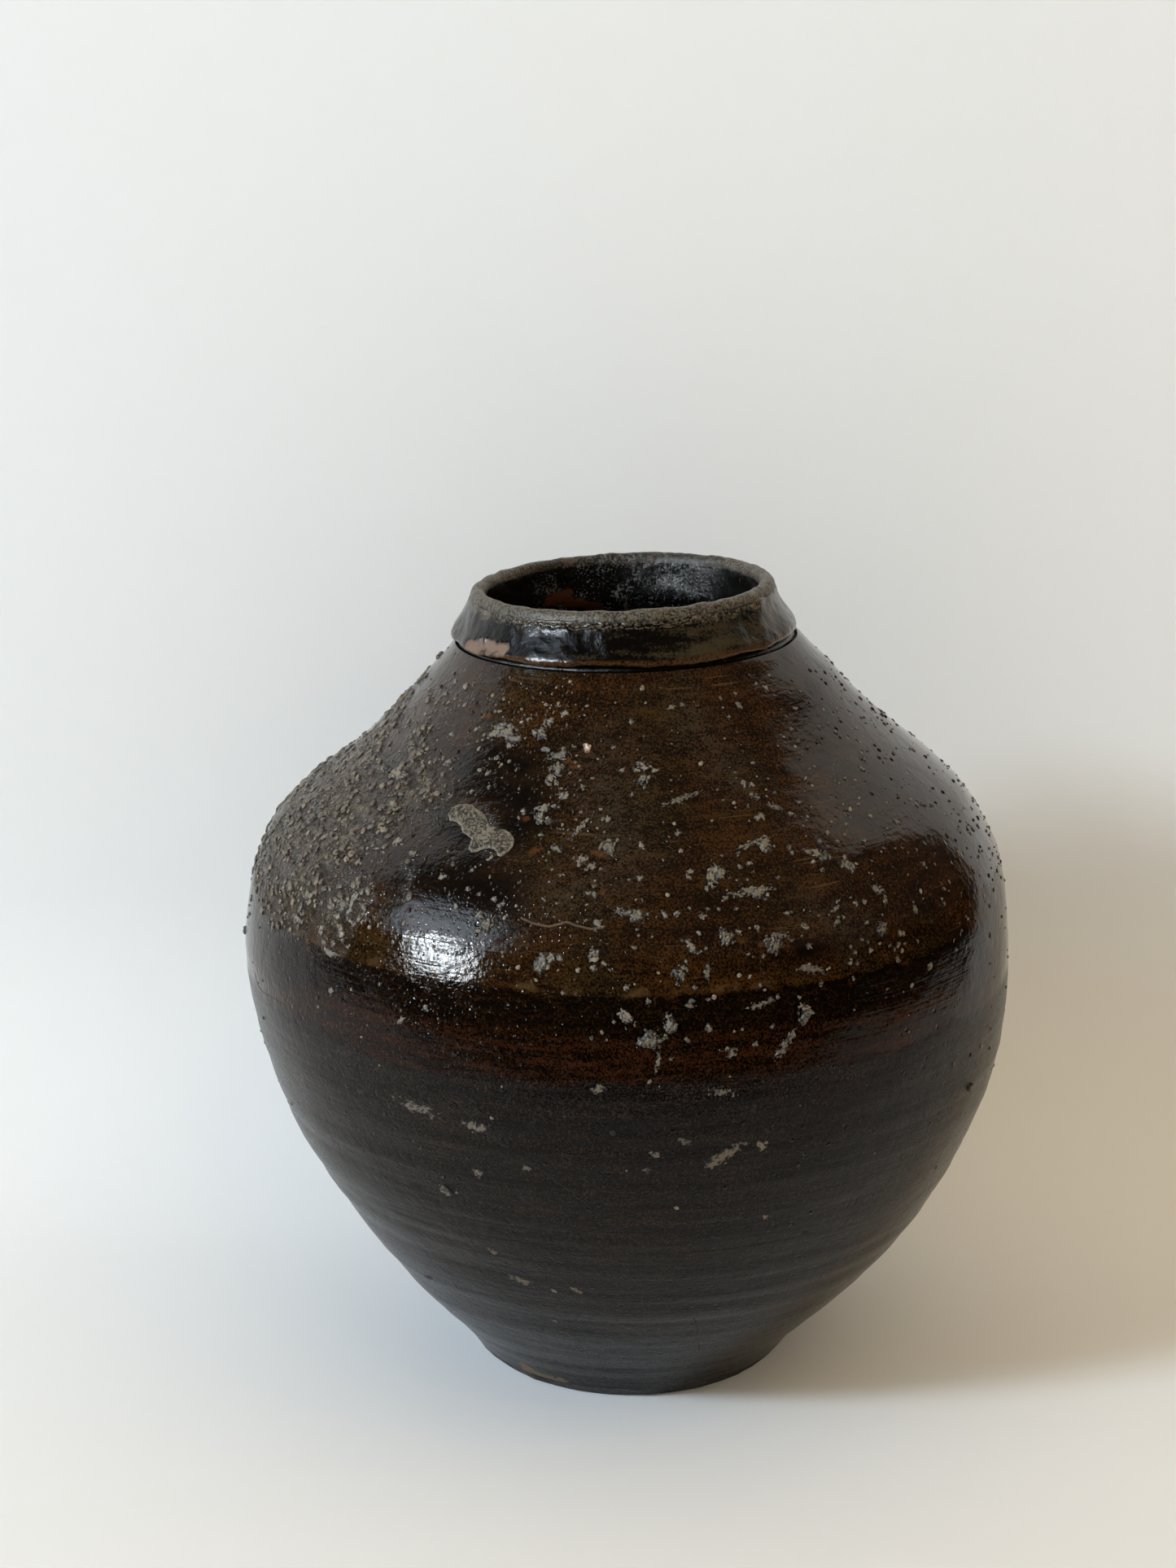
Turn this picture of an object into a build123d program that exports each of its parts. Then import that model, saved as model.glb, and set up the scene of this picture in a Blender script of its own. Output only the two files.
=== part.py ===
from build123d import *
import os

# Jar body, measured over the outer glaze
belly_diameter = 280.0
belly_height = 161.0
crest_inset = 3.0
crest_rise = 26.5
shoulder_rise = 88.0
foot_diameter = 123.0
foot_edge_height = 5.0
foot_bevel = 4.5

# Clay and glaze thicknesses
wall = 7.0
base_thickness = 9.0
glaze = 0.5
foot_coil_radius = 6.0

# Bevelled laps between the clay courses
lap_climb = 9.0
lower_seam_share = 0.34
middle_seam_share = 0.68

# Neck and lip above the shoulder
neck_height = 20.0
mouth_diameter = 98.4
throat_length = 12.0
lip_thickness = 5.7
neck_taper = 1.3

# Rim band, the strip of clay folded down outside the neck
band_thickness = 5.6
band_edge_thickness = 2.7
band_edge_round = 0.7
band_hollow = 0.5
band_overhang = 1.3
undercut_gap = 1.4
undercut_depth = 2.4

# Places between the belly and the foot edge: share of the way in, share of the way down
under_belly_shares = [(0.21, 0.46), (0.58, 0.755), (0.915, 0.94)]

# Places between the crest and the neck root: share of the way in, share of the way up
shoulder_shares = [(0.29, 0.385), (0.85, 0.835)]

# Start, middle and end of an arc
arc_shares = [0, 0.5, 1]

# Kiln grit, in low round lumps of about this width
grit_width = 5.0
grit_height_share = 0.32
grit_clearance = 0.1

# Grit on the shoulder: degrees round from +X, share of the climb from crest to neck root, share of the width
shoulder_grit_shares = [
    (172, 0.90, 1),
    (173, 0.16, 1.2),
    (223, 0.12, 1.1),
    (248, 0.15, 0.9),
    (242, 0.43, 1.7),
    (251, 0.51, 1),
    (253, 0.68, 1.1),
    (247, 0.79, 1),
    (257, 0.06, 1.3),
    (264, 0.10, 0.9),
    (265, 0.42, 0.9),
    (270, 0.205, 1.2),
    (272, 0.655, 1),
    (276, 0.042, 0.9),
    (283, 0.325, 1.1),
    (283, 0.13, 0.9),
    (289, 0.255, 1.1),
    (290, 0.10, 1.2),
    (292, 0.415, 1.2),
    (302, 0.34, 0.9),
    (306, 0.29, 0.9),
    (308, 0.09, 1.1),
    (310, 0.20, 0.9),
    (200, 0.30, 1),
    (206, 0.55, 0.9),
    (152, 0.35, 1),
    (120, 0.25, 0.9),
    (84, 0.45, 1),
    (40, 0.30, 0.9),
    (12, 0.15, 1),
]

# Grit below the crest: degrees round from +X, share of the climb from foot edge to crest, share of the width
belly_grit_shares = [
    (272, 0.918, 1.5),
    (275, 0.94, 1),
    (294, 0.935, 1.1),
    (240, 0.60, 0.9),
    (330, 0.70, 0.9),
    (186, 0.90, 0.9),
]

# Reach of cuts and joint lines past what they cut
overrun = 20.0
joint_reach_share = 0.3

# Corners of the half section, as distance from the axis and height
belly = Vector(belly_diameter / 2, belly_height)
crest = belly + Vector(-crest_inset, crest_rise)
foot_edge = Vector(foot_diameter / 2, foot_edge_height)
foot_ground = Vector(foot_edge.X - foot_bevel, 0)
neck_root_height = crest.Y + shoulder_rise
throat_top = Vector(mouth_diameter / 2, neck_root_height + neck_height - lip_thickness / 2)
band_top = throat_top + Vector(lip_thickness, 0)
band_bottom_height = neck_root_height + undercut_gap
undercut = Vector(band_top.X + neck_taper, band_bottom_height + undercut_depth)
band_edge = Vector(undercut.X + band_thickness, band_bottom_height + band_edge_thickness)
neck_root = Vector(band_edge.X - band_overhang, neck_root_height)
lining_depth = glaze + wall
section_top = neck_root_height + neck_height + overrun
section_width = belly_diameter


def places_between(start, end, shares):
    step = end - start
    middle = [start + Vector(step.X * across, step.Y * along) for across, along in shares]
    return [start] + middle + [end]


def tangent_arcs(points, direction):
    arcs = []
    for start, end in zip(points, points[1:]):
        arc = TangentArc(start, end, tangent=direction)
        arcs.append(arc)
        direction = arc % 1
    return arcs


def outward(edge, share):
    along = edge % share
    return Vector(along.Y, -along.X)


# Outer curves, one smooth run of arcs from the foot edge over the belly and crest to the neck root
def under_belly_arcs():
    falling = tangent_arcs(places_between(belly, foot_edge, under_belly_shares), (0, -1))
    return [edge.reversed() for edge in reversed(falling)]


def over_belly_arc():
    return TangentArc(belly, crest, tangent=(0, 1))


def belly_curve():
    return Wire(under_belly_arcs() + [over_belly_arc()])


def shoulder_arcs():
    points = places_between(crest, neck_root, shoulder_shares)
    return tangent_arcs(points, over_belly_arc() % 1)


def shoulder_curve():
    return Wire(shoulder_arcs())


# The same arc set in by a depth, about the same centre
def inset(arc, depth):
    moved = [arc @ share - outward(arc, share) * depth for share in arc_shares]
    return ThreePointArc(*moved)


# The filled jar as a flat section that runs past the axis, set in from the glazed outside
def filled_section(depth):
    arcs = under_belly_arcs() + [over_belly_arc()] + shoulder_arcs()
    side = [inset(arc, depth) for arc in arcs]
    low = side[0] @ 0
    high = side[-1] @ 1
    foot_line = Line(foot_ground, foot_edge) if depth == 0 else Line(Vector(low.X, 0), low)
    top_right = Vector(high.X, section_top)
    top_left = Vector(-overrun, section_top)
    bottom_left = Vector(-overrun, 0)
    frame = Polyline(high, top_right, top_left, bottom_left, foot_line @ 0)
    return make_face(frame.edges() + [foot_line] + side)


def strip(low, high):
    return Pos(-overrun, low) * Rectangle(section_width, high - low, align=(Align.MIN, Align.MIN))


def right_half():
    return Rectangle(section_width, section_top, align=(Align.MIN, Align.MIN))


def ring(section):
    return revolve(Plane.XZ * (section & right_half()), Axis.Z)


# Joint lines, each from the outer surface to the lining
def joint_line(curve, share, climb):
    point = curve @ share
    return point, point - outward(curve, share) * lining_depth + (curve % share) * climb


def above_joint(joint):
    outer, inner = joint
    reach = (inner - outer) * joint_reach_share
    start = outer - reach
    end = inner + reach
    far_right = Vector(section_width, start.Y)
    top_right = Vector(section_width, section_top)
    top_left = Vector(-overrun, section_top)
    far_left = Vector(-overrun, end.Y)
    return make_face(Polyline(start, end, far_left, top_left, top_right, far_right, close=True))


lower_joint = joint_line(belly_curve(), lower_seam_share, lap_climb)
middle_joint = joint_line(belly_curve(), middle_seam_share, lap_climb)
crest_joint = joint_line(belly_curve(), 1, lap_climb)
neck_joint = joint_line(shoulder_curve(), 1, 0)


# Flat sections of the clay, the hollow and the foot seam
def clay_section():
    foot = filled_section(0) & strip(0, foot_edge_height)
    return (filled_section(glaze) & strip(foot_edge_height, section_top)) + foot


def hollow_section(coat):
    return filled_section(lining_depth + coat) & strip(base_thickness + coat, section_top)


def base_region():
    bevel_end = Vector(foot_edge.X - (base_thickness - foot_edge_height), base_thickness)
    corners = [
        Vector(-overrun, 0),
        Vector(section_width, 0),
        Vector(section_width, foot_edge_height),
        foot_edge,
        bevel_end,
        Vector(-overrun, base_thickness),
    ]
    return make_face(Polyline(*corners, close=True))


def wall_section():
    return clay_section() - hollow_section(0) - base_region()


def foot_coil_circle(coat):
    corner = hollow_section(0).vertices().group_by(Axis.Y)[0].sort_by(Axis.X)[-1]
    return Pos(corner.X, corner.Y) * Circle(foot_coil_radius + coat)


# Base slab, with the bevelled edge that the first course stands on
def base_disc():
    return ring(clay_section() & base_region())


# Coil pressed into the inside corner between base and wall
def foot_seam_coil():
    return ring(hollow_section(0) & foot_coil_circle(0))


# Clay courses from the base up
def lower_wall():
    return ring(wall_section() - above_joint(lower_joint))


def middle_wall():
    return ring((wall_section() & above_joint(lower_joint)) - above_joint(middle_joint))


def belly_wall():
    return ring((wall_section() & above_joint(middle_joint)) - above_joint(crest_joint))


def shoulder_wall():
    return ring((wall_section() & above_joint(crest_joint)) - above_joint(neck_joint))


# Neck ring: throat and rounded lip, seated square on the shoulder's top edge
def neck_ring():
    outer, inner = neck_joint
    throat_bottom = throat_top - Vector(0, throat_length)
    crown = throat_top + Vector(lip_thickness / 2, lip_thickness / 2)
    lip = ThreePointArc(throat_top, crown, band_top)
    flare = TangentArc(throat_bottom, inner, tangent=(0, -1))
    sides = [Line(throat_bottom, throat_top), Line(band_top, undercut), Line(undercut, outer)]
    return ring(make_face([Line(outer, inner), flare, lip] + sides))


# Rim band, folded down over the neck with an undercut below it
def rim_band():
    band_bottom = band_edge - Vector(band_edge_round, band_edge_thickness)
    face = SagittaArc(band_top, band_edge, -band_hollow)
    round_edge = SagittaArc(band_edge, band_bottom, band_edge_round)
    return ring(make_face([face, round_edge, Line(band_bottom, undercut), Line(undercut, band_top)]))


# Glaze coats inside and out
def outer_glaze():
    coat = filled_section(0) - filled_section(glaze)
    return ring((coat & strip(foot_edge_height, section_top)) - above_joint(neck_joint))


def inner_glaze():
    clay_hollow = hollow_section(0) - foot_coil_circle(0)
    glazed_hollow = hollow_section(glaze) - foot_coil_circle(glaze)
    return ring((clay_hollow - glazed_hollow) & strip(0, neck_joint[1].Y))


# Kiln grit: low round lumps fused to the glaze, cut to its curve with a hair of clearance
def grit_lump(curve, degrees, share, width_share):
    width = grit_width * width_share
    half_width = width / 2
    height = width * grit_height_share
    radius = (half_width**2 + height**2) / (2 * height)
    away = outward(curve, share)
    centre = curve @ share - away * (radius - height)
    seat = Plane(origin=(centre.X, 0, centre.Y), x_dir=(-away.X, 0, -away.Y), z_dir=(0, 1, 0))
    return Rot(0, 0, degrees) * (seat * Sphere(radius))


def kiln_grit():
    jar = ring(filled_section(-grit_clearance))
    lumps = [grit_lump(shoulder_curve(), *place) for place in shoulder_grit_shares]
    lumps += [grit_lump(belly_curve(), *place) for place in belly_grit_shares]
    return Compound([piece for lump in lumps for piece in (lump - jar).solids()])


pieces = [
    base_disc,
    foot_seam_coil,
    lower_wall,
    middle_wall,
    belly_wall,
    shoulder_wall,
    neck_ring,
    rim_band,
    outer_glaze,
    inner_glaze,
    kiln_grit,
]

os.makedirs("parts", exist_ok=True)
for piece in pieces:
    export_step(piece(), f"parts/{piece.__name__}.step")
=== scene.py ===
import math
import random

import bmesh
import bpy
from mathutils import Matrix, Vector, noise
from mathutils.bvhtree import BVHTree


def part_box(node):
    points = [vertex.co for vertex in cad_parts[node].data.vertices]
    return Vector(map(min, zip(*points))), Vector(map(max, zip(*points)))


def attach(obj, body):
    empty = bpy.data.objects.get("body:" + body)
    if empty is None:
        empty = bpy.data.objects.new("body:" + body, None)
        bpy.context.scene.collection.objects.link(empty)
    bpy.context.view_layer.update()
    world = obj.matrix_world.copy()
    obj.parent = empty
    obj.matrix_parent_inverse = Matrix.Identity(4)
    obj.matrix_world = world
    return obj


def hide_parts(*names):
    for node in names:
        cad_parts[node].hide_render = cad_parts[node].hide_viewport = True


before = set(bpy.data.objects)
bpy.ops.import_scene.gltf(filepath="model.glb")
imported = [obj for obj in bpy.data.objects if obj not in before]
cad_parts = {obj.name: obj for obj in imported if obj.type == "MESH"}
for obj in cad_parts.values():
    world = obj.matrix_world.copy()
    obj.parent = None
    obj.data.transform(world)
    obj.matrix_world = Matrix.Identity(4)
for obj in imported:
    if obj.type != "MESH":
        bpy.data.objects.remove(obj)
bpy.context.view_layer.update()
mm = 0.001

# Photograph's frame and the camera that fits it
photo = {"width": 1445, "height": 1927, "focalPixels": 3500}
view = {"place": (-0.016, -1.0105, 0.501), "pitch": 15.6, "sensor": 36}


def makeCamera():
    data = bpy.data.cameras.new("photoCamera")
    data.sensor_width = view["sensor"]
    data.lens = photo["focalPixels"] / photo["height"] * view["sensor"]
    camera = bpy.data.objects.new("photoCamera", data)
    camera.location = view["place"]
    camera.rotation_euler = (math.radians(90 - view["pitch"]), 0, 0)
    bpy.context.scene.collection.objects.link(camera)
    bpy.context.scene.camera = camera
    bpy.context.view_layer.update()
    return camera


camera = makeCamera()
bpy.context.scene.view_settings.view_transform = "Standard"
print("camera placed")


# Selecting, editing and finishing, used by every piece
def freshStart():
    if bpy.context.object and bpy.context.object.mode != "OBJECT":
        bpy.ops.object.mode_set(mode="OBJECT")
    bpy.ops.object.select_all(action="DESELECT")


def activate(piece):
    freshStart()
    piece.select_set(True)
    bpy.context.view_layer.objects.active = piece


def editAll(piece):
    activate(piece)
    bpy.ops.object.mode_set(mode="EDIT")
    bpy.ops.mesh.select_all(action="SELECT")


def leaveEdit():
    bpy.ops.object.mode_set(mode="OBJECT")


def applyModifier(piece, kind, **settings):
    activate(piece)
    modifier = piece.modifiers.new(kind.lower(), kind)
    for key, value in settings.items():
        setattr(modifier, key, value)
    bpy.ops.object.modifier_apply(modifier=modifier.name)


def smooth(piece, levels):
    applyModifier(piece, "SUBSURF", levels=levels, render_levels=levels)


def softShade(piece, angle):
    activate(piece)
    bpy.ops.object.shade_smooth_by_angle(angle=math.radians(angle))


def finishPiece(piece, material, slot, *nodes, angle=40):
    softShade(piece, angle)
    piece.data.materials.clear()
    piece.data.materials.append(material)
    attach(piece, "root")
    if nodes:
        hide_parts(*nodes)
    print("made", piece.name, len(piece.data.polygons), "faces")


# A value for every vertex, for the materials to read
def storeField(piece, name, values):
    field = piece.data.attributes.new(name, "FLOAT", "POINT")
    field.data.foreach_set("value", values)


def paintField(piece, name, shareAt):
    storeField(piece, name, [shareAt(vertex.co) for vertex in piece.data.vertices])


# A ring of rows, each a radius and a height, extruded upwards from a circle
def turnRows(name, rows, sides):
    freshStart()
    bpy.ops.mesh.primitive_circle_add(vertices=sides, radius=rows[0][0], location=(0, 0, rows[0][1]))
    piece = bpy.context.object
    piece.name = name
    bpy.ops.object.transform_apply(location=True, rotation=True, scale=True)
    editAll(piece)
    for row, following in zip(rows, rows[1:]):
        bpy.ops.mesh.extrude_region_move(TRANSFORM_OT_translate={"value": (0, 0, following[1] - row[1])})
        grow = following[0] / row[0]
        bpy.ops.transform.resize(value=(grow, grow, 1), center_override=(0, 0, following[1]))
    return piece


def closeEnds():
    bpy.ops.mesh.select_all(action="DESELECT")
    bpy.ops.mesh.select_non_manifold()
    bpy.ops.mesh.bridge_edge_loops()


def faceOutwards():
    bpy.ops.mesh.select_all(action="SELECT")
    bpy.ops.mesh.normals_make_consistent(inside=False)
    leaveEdit()


# Open coat: its widest face has to look away from the axis, or towards it inside the jar
def faceAway(piece, inwards=False):
    faceOutwards()
    widest = max(piece.data.polygons, key=lambda face: face.center.xy.length)
    away = widest.normal.xy.dot(widest.center.xy) > 0
    if away == inwards:
        editAll(piece)
        bpy.ops.mesh.flip_normals()
        leaveEdit()


# Shapes read from the frame
def treeOf(*pieces):
    points = []
    faces = []
    for piece in pieces:
        start = len(points)
        points += [vertex.co.copy() for vertex in piece.data.vertices]
        faces += [[start + index for index in face.vertices] for face in piece.data.polygons]
    return BVHTree.FromPolygons(points, faces)


def radiusAt(tree, height, inside=False):
    beside = 0.1 * mm
    start = Vector((0, beside, height)) if inside else Vector((1, beside, height))
    hit = tree.ray_cast(start, Vector((1 if inside else -1, 0, 0)))[0]
    return hit.xy.length


def evenRows(tree, low, high, count, inside=False):
    steps = 400
    heights = [low + (high - low) * step / steps for step in range(steps + 1)]
    points = [Vector((radiusAt(tree, height, inside), height)) for height in heights]
    return evenlyAlong(points, count)


def evenlyAlong(points, count):
    lengths = [0]
    for start, end in zip(points, points[1:]):
        lengths.append(lengths[-1] + (end - start).length)
    rows = []
    place = 0
    for index in range(count + 1):
        wanted = lengths[-1] * index / count
        while place < len(points) - 2 and lengths[place + 1] < wanted:
            place += 1
        share = (wanted - lengths[place]) / max(lengths[place + 1] - lengths[place], 1e-9)
        rows.append(points[place].lerp(points[place + 1], share))
    return rows


# Closed half section of a ring node, cut by a plane through the axis
def sectionOf(nodeName, count):
    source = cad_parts[nodeName]
    cut = bmesh.new()
    cut.from_mesh(source.data)
    bmesh.ops.remove_doubles(cut, verts=cut.verts, dist=0.01 * mm)
    turn = math.radians(0.7)
    across = Vector((-math.sin(turn), math.cos(turn), 0))
    everything = cut.verts[:] + cut.edges[:] + cut.faces[:]
    bmesh.ops.bisect_plane(cut, geom=everything, plane_co=(0, 0, 0), plane_no=across,
                           clear_inner=True, clear_outer=True)
    edges = [edge for edge in cut.edges if all(vertex.co.x > 0 for vertex in edge.verts)]
    vertex = edges[0].verts[0]
    used = set()
    loop = []
    while True:
        loop.append(Vector((vertex.co.xy.length, vertex.co.z)))
        following = [edge for edge in vertex.link_edges if edge in edges and edge not in used]
        if not following:
            break
        used.add(following[0])
        vertex = following[0].other_vert(vertex)
        if len(used) == len(edges):
            break
    cut.free()
    return evenlyAlong(loop + [loop[0]], count)[:-1]


def turnSection(name, nodeName, count, sides, levels=2):
    loop = sectionOf(nodeName, count)
    piece = turnRows(name, [tuple(row) for row in loop], sides)
    closeEnds()
    faceOutwards()
    smooth(piece, levels)
    return piece


# The place and normal seen at a pixel of the photograph
def seenOn(tree, x, y):
    across = (x - photo["width"] / 2) / photo["focalPixels"]
    up = (photo["height"] / 2 - y) / photo["focalPixels"]
    ray = camera.matrix_world.to_3x3() @ Vector((across, up, -1))
    place, normal = tree.ray_cast(camera.matrix_world.translation, ray)[:2]
    return place, normal


# Distance in mm from a stroke
def awayFrom(point, start, end):
    along = end - start
    share = (point - start).dot(along) / max(along.length_squared, 1e-12)
    share = min(1, max(0, share))
    return (point - start - along * share).length / mm


# Soft noise of about this size in mm
def wave(point, size):
    return noise.noise(point / (size * mm))


# Share by closeness to the nearest of some strokes, each a start, an end and a reach in mm
def nearStrokes(point, strokes, ragged, size):
    best = 0
    for start, end, reach in strokes:
        away = awayFrom(point, start, end)
        if away < reach + ragged * 2:
            wander = wave(point, size) + 0.5 * wave(point, size * 0.4)
            best = max(best, ease(reach - away + wander * ragged, 0, reach * 0.4))
    return best


# The same without the ragged edge, fading from 1 at a stroke to 0.5 at its reach and 0 at twice that
def fadeStrokes(point, strokes):
    return max(0, *[1 - awayFrom(point, start, end) / (2 * reach) for start, end, reach in strokes])


def strokesSeen(tree, table):
    return [(seenOn(tree, x, y)[0], seenOn(tree, toX, toY)[0], reach) for x, y, toX, toY, reach in table]


# How the fired jar leans away from a perfectly turned one
leaning = {
    "heights": (0, 60, 110, 170, 205, 228, 262, 296),   # mm
    "drift": (0.3, 3.4, 1.6, -0.9, -0.3, 1.4, -1.9, -3.6),   # mm towards +X at those heights
    "fullerLeft": (0, 1.2, 1.7, 2.1, 2.6, 2.6, 1.6, 0),   # mm that the left side stands further out
    "rightHeights": (0, 165, 205, 232, 262, 273, 279),
    "fullerRight": (0, 0.6, 1.6, 4.8, 4.6, 2.2, 0),   # and the right side, at its own heights
    "rimTilt": 2.3,   # degrees, right side up
    "tiltFrom": 240,
    "tiltTo": 298,
    "oval": 0.0035,
    "ovalTurn": 0.6,
    "lumpSize": 55,
    "lumpDepth": 0.0045,
}


def ease(value, low, high):
    share = min(1, max(0, (value - low) / (high - low)))
    return share * share * (3 - 2 * share)


def through(heights, values, height):
    result = values[0]
    for low, high, start, end in zip(heights, heights[1:], values, values[1:]):
        result += (end - start) * ease(height, low, high)
    return result


def settled(point):
    turn = math.atan2(point.y, point.x)
    height = point.z / mm
    lump = wave(point, leaning["lumpSize"]) * leaning["lumpDepth"] * ease(height, 0, 20)
    swell = 1 + leaning["oval"] * math.cos(2 * (turn - leaning["ovalTurn"])) + lump
    drift = through(leaning["heights"], leaning["drift"], height) * mm
    leftness = max(0, -math.cos(turn)) ** 1.5
    drift -= through(leaning["heights"], leaning["fullerLeft"], height) * leftness * mm
    rightness = max(0, math.cos(turn)) ** 1.5
    drift += through(leaning["rightHeights"], leaning["fullerRight"], height) * rightness * mm
    lift = math.tan(math.radians(leaning["rimTilt"])) * ease(height, leaning["tiltFrom"], leaning["tiltTo"])
    return Vector((point.x * swell + drift, point.y * swell, point.z + lift * point.x))


# Moves every vertex along its normal by a relief, then lets the jar lean
def formByHand(piece, relief=None):
    mesh = piece.data
    normals = [vertex.normal.copy() for vertex in mesh.vertices]
    for vertex, normal in zip(mesh.vertices, normals):
        point = vertex.co
        if relief:
            point = point + normal * relief(point, normal)
        vertex.co = settled(point)
    mesh.update()


# Ash crust on the shoulder: heavy on the left, a share of it behind
crust = {
    # turn in degrees, height and reach in mm
    "patches": ((188, 236, 56), (212, 218, 40), (232, 256, 14), (160, 215, 40), (110, 240, 38)),
    "radiusBelow": 125,
    "radiusAbove": 100,
    "aboveFrom": 240,
    "closeness": (0.30, 0.78),   # where the crust begins and where it is full
    "lowEdge": (181, 189),
    "ragged": 0.46,
    "size": 19,
    "lumpSize": 4.6,
    "depth": 0.42,
    "pale": (0.135, 0.102, 0.064),
    "dark": (0.012, 0.0080, 0.0048),
}


def onJar(turn, height, radius):
    angle = math.radians(turn)
    return Vector((math.cos(angle) * radius, math.sin(angle) * radius, height)) * mm


crustStrokes = []
for turn, height, reach in crust["patches"]:
    radius = crust["radiusBelow"] if height < crust["aboveFrom"] else crust["radiusAbove"]
    middle = onJar(turn, height, radius)
    crustStrokes.append((middle, middle, reach))


def crustAt(point):
    near = fadeStrokes(point, crustStrokes)
    if near == 0:
        return 0
    wander = wave(point, crust["size"]) + 0.5 * wave(point, crust["size"] * 0.35)
    return ease(near + wander * crust["ragged"], *crust["closeness"]) * ease(point.z / mm, *crust["lowEdge"])


# Throwing ridges and hand marks of the outside, in mm
marks = {
    "ridgeSize": 6.5,
    "depthLow": 0.46,
    "depthHigh": 0.09,
    "dentSize": 24,
    "dentDepth": 0.22,
    "waveSize": 9,
    "waveDepth": 0.07,
    "crestHeight": 185.5,
    "crestWidth": 2.4,
    "crestDepth": 0.14,
    "deepest": -0.36,
}


def bodyRelief(point, normal):
    height = point.z / mm
    low = 1 - ease(height, 120, 185)
    depth = marks["depthHigh"] + (marks["depthLow"] - marks["depthHigh"]) * low
    wound = Vector((point.x / 160, point.y / 160, point.z / marks["ridgeSize"])) / mm
    ridge = (noise.noise(wound) + 0.4 * noise.noise(wound * 2.6)) * depth
    dent = wave(point, marks["dentSize"]) * marks["dentDepth"]
    dent += wave(point, marks["waveSize"]) * marks["waveDepth"]
    crest = marks["crestDepth"] * math.exp(-((height - marks["crestHeight"]) / marks["crestWidth"]) ** 2)
    share = crustAt(point) if height > 150 else 0
    if share > 0:
        lumps = wave(point, crust["lumpSize"]) + 0.6 * wave(point, 2.3)
        dent += share * (0.1 + max(0, lumps + 0.1)) * crust["depth"]
    calm = ease(height, 4, 16)
    return max(ridge + dent + crest, marks["deepest"]) * calm * mm


# Materials: small node helpers first, which all work on the material or world that was started last
nodeTree = None


def startNodes(owner):
    global nodeTree
    owner.use_nodes = True
    nodeTree = owner.node_tree
    return owner


def newMaterial(name):
    return startNodes(bpy.data.materials.new(name))


def feed(socket, value):
    if isinstance(value, bpy.types.NodeSocket):
        nodeTree.links.new(value, socket)
    else:
        socket.default_value = value


def addNode(kind, inputs=None, **settings):
    made = nodeTree.nodes.new("ShaderNode" + kind)
    for key, value in settings.items():
        setattr(made, key, value)
    for key, value in (inputs or {}).items():
        feed(made.inputs[key], value)
    return made   # settings come first, because a node's inputs depend on them


def objectPlace(stretch=(1, 1, 1)):
    coords = addNode("TexCoord").outputs["Object"]
    return addNode("Mapping", {"Vector": coords, "Scale": stretch}).outputs["Vector"]


def noiseField(size, detail=3, stretch=(1, 1, 1), rough=0.55, warp=0.0):
    return addNode("TexNoise", {
        "Vector": objectPlace(stretch),
        "Scale": 1 / (size * mm),
        "Detail": detail,
        "Roughness": rough,
        "Distortion": warp,
    }).outputs["Fac"]


def cells(size):
    return addNode("TexVoronoi", {"Vector": objectPlace(), "Scale": 1 / (size * mm)}).outputs["Distance"]


def between(value, low, high, start=0.0, end=1.0):
    return addNode("MapRange", {
        "Value": value,
        "From Min": low,
        "From Max": high,
        "To Min": start,
        "To Max": end,
    }, interpolation_type="SMOOTHSTEP").outputs["Result"]


def combine(operation, first, second):
    return addNode("Math", {0: first, 1: second}, operation=operation).outputs[0]


def times(first, *others):
    for other in others:
        first = combine("MULTIPLY", first, other)
    return first


# Sum of fields, each with its weight
def weigh(*parts):
    total = None
    for field, weight in parts:
        part = field if weight == 1 else times(field, weight)
        total = part if total is None else combine("ADD", total, part)
    return total


def blendColour(share, first, second):
    made = addNode("Mix", {"Factor": share}, data_type="RGBA")
    for socket, colour in (("A", first), ("B", second)):
        target = next(item for item in made.inputs if item.name == socket and item.type == "RGBA")
        feed(target, colour if isinstance(colour, bpy.types.NodeSocket) else (*colour, 1))
    return next(item for item in made.outputs if item.type == "RGBA")


def paintedField(name):
    return addNode("Attribute", attribute_name=name).outputs["Fac"]


def axisField(axis="Z"):
    coords = addNode("TexCoord").outputs["Object"]
    return addNode("SeparateXYZ", {"Vector": coords}).outputs[axis]


# Colour, roughness and relief in mm for the shader of the material in hand
def setShader(colour, rough, relief=None, index=None):
    sockets = nodeTree.nodes["Principled BSDF"].inputs
    feed(sockets["Base Color"], colour)
    feed(sockets["Roughness"], rough)
    if relief is not None:
        bump = addNode("Bump", {"Height": relief, "Distance": 1 * mm, "Strength": 1.0})
        feed(sockets["Normal"], bump.outputs["Normal"])
    if index is not None:
        sockets["IOR"].default_value = index


# Dark amber glaze of the outside
glaze = {
    "deep": (0.0050, 0.0022, 0.0010),
    "amber": (0.046, 0.0180, 0.0040),
    "olive": (0.036, 0.0190, 0.0052),
    "honey": (0.125, 0.072, 0.028),
    "black": (0.0016, 0.0009, 0.0006),
    "red": (0.032, 0.0095, 0.0036),
    "low": (0.0022, 0.0014, 0.0011),
    "lowFleck": (0.0250, 0.0150, 0.0098),
    "smoke": (0.052, 0.039, 0.024),
    "rust": (0.095, 0.040, 0.012),
    "bare": (0.150, 0.105, 0.065),
    "honeyFrom": (189.6, 191.0),   # heights in mm where a tone begins and where it is full
    "honeyTo": (193.4, 191.6),
    "blackFrom": (191, 189),
    "redFrom": (181, 173),
    "mattFrom": (166, 160),
    "gloss": 0.075,
    "lowGloss": 0.18,
    "crustGloss": 0.36,
    "shoulderIndex": 1.42,
    "bodyIndex": 1.25,
    "bandIndex": 1.38,
}


def fromHeight(field, heights):
    return between(field, heights[0] * mm, heights[1] * mm)


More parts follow.
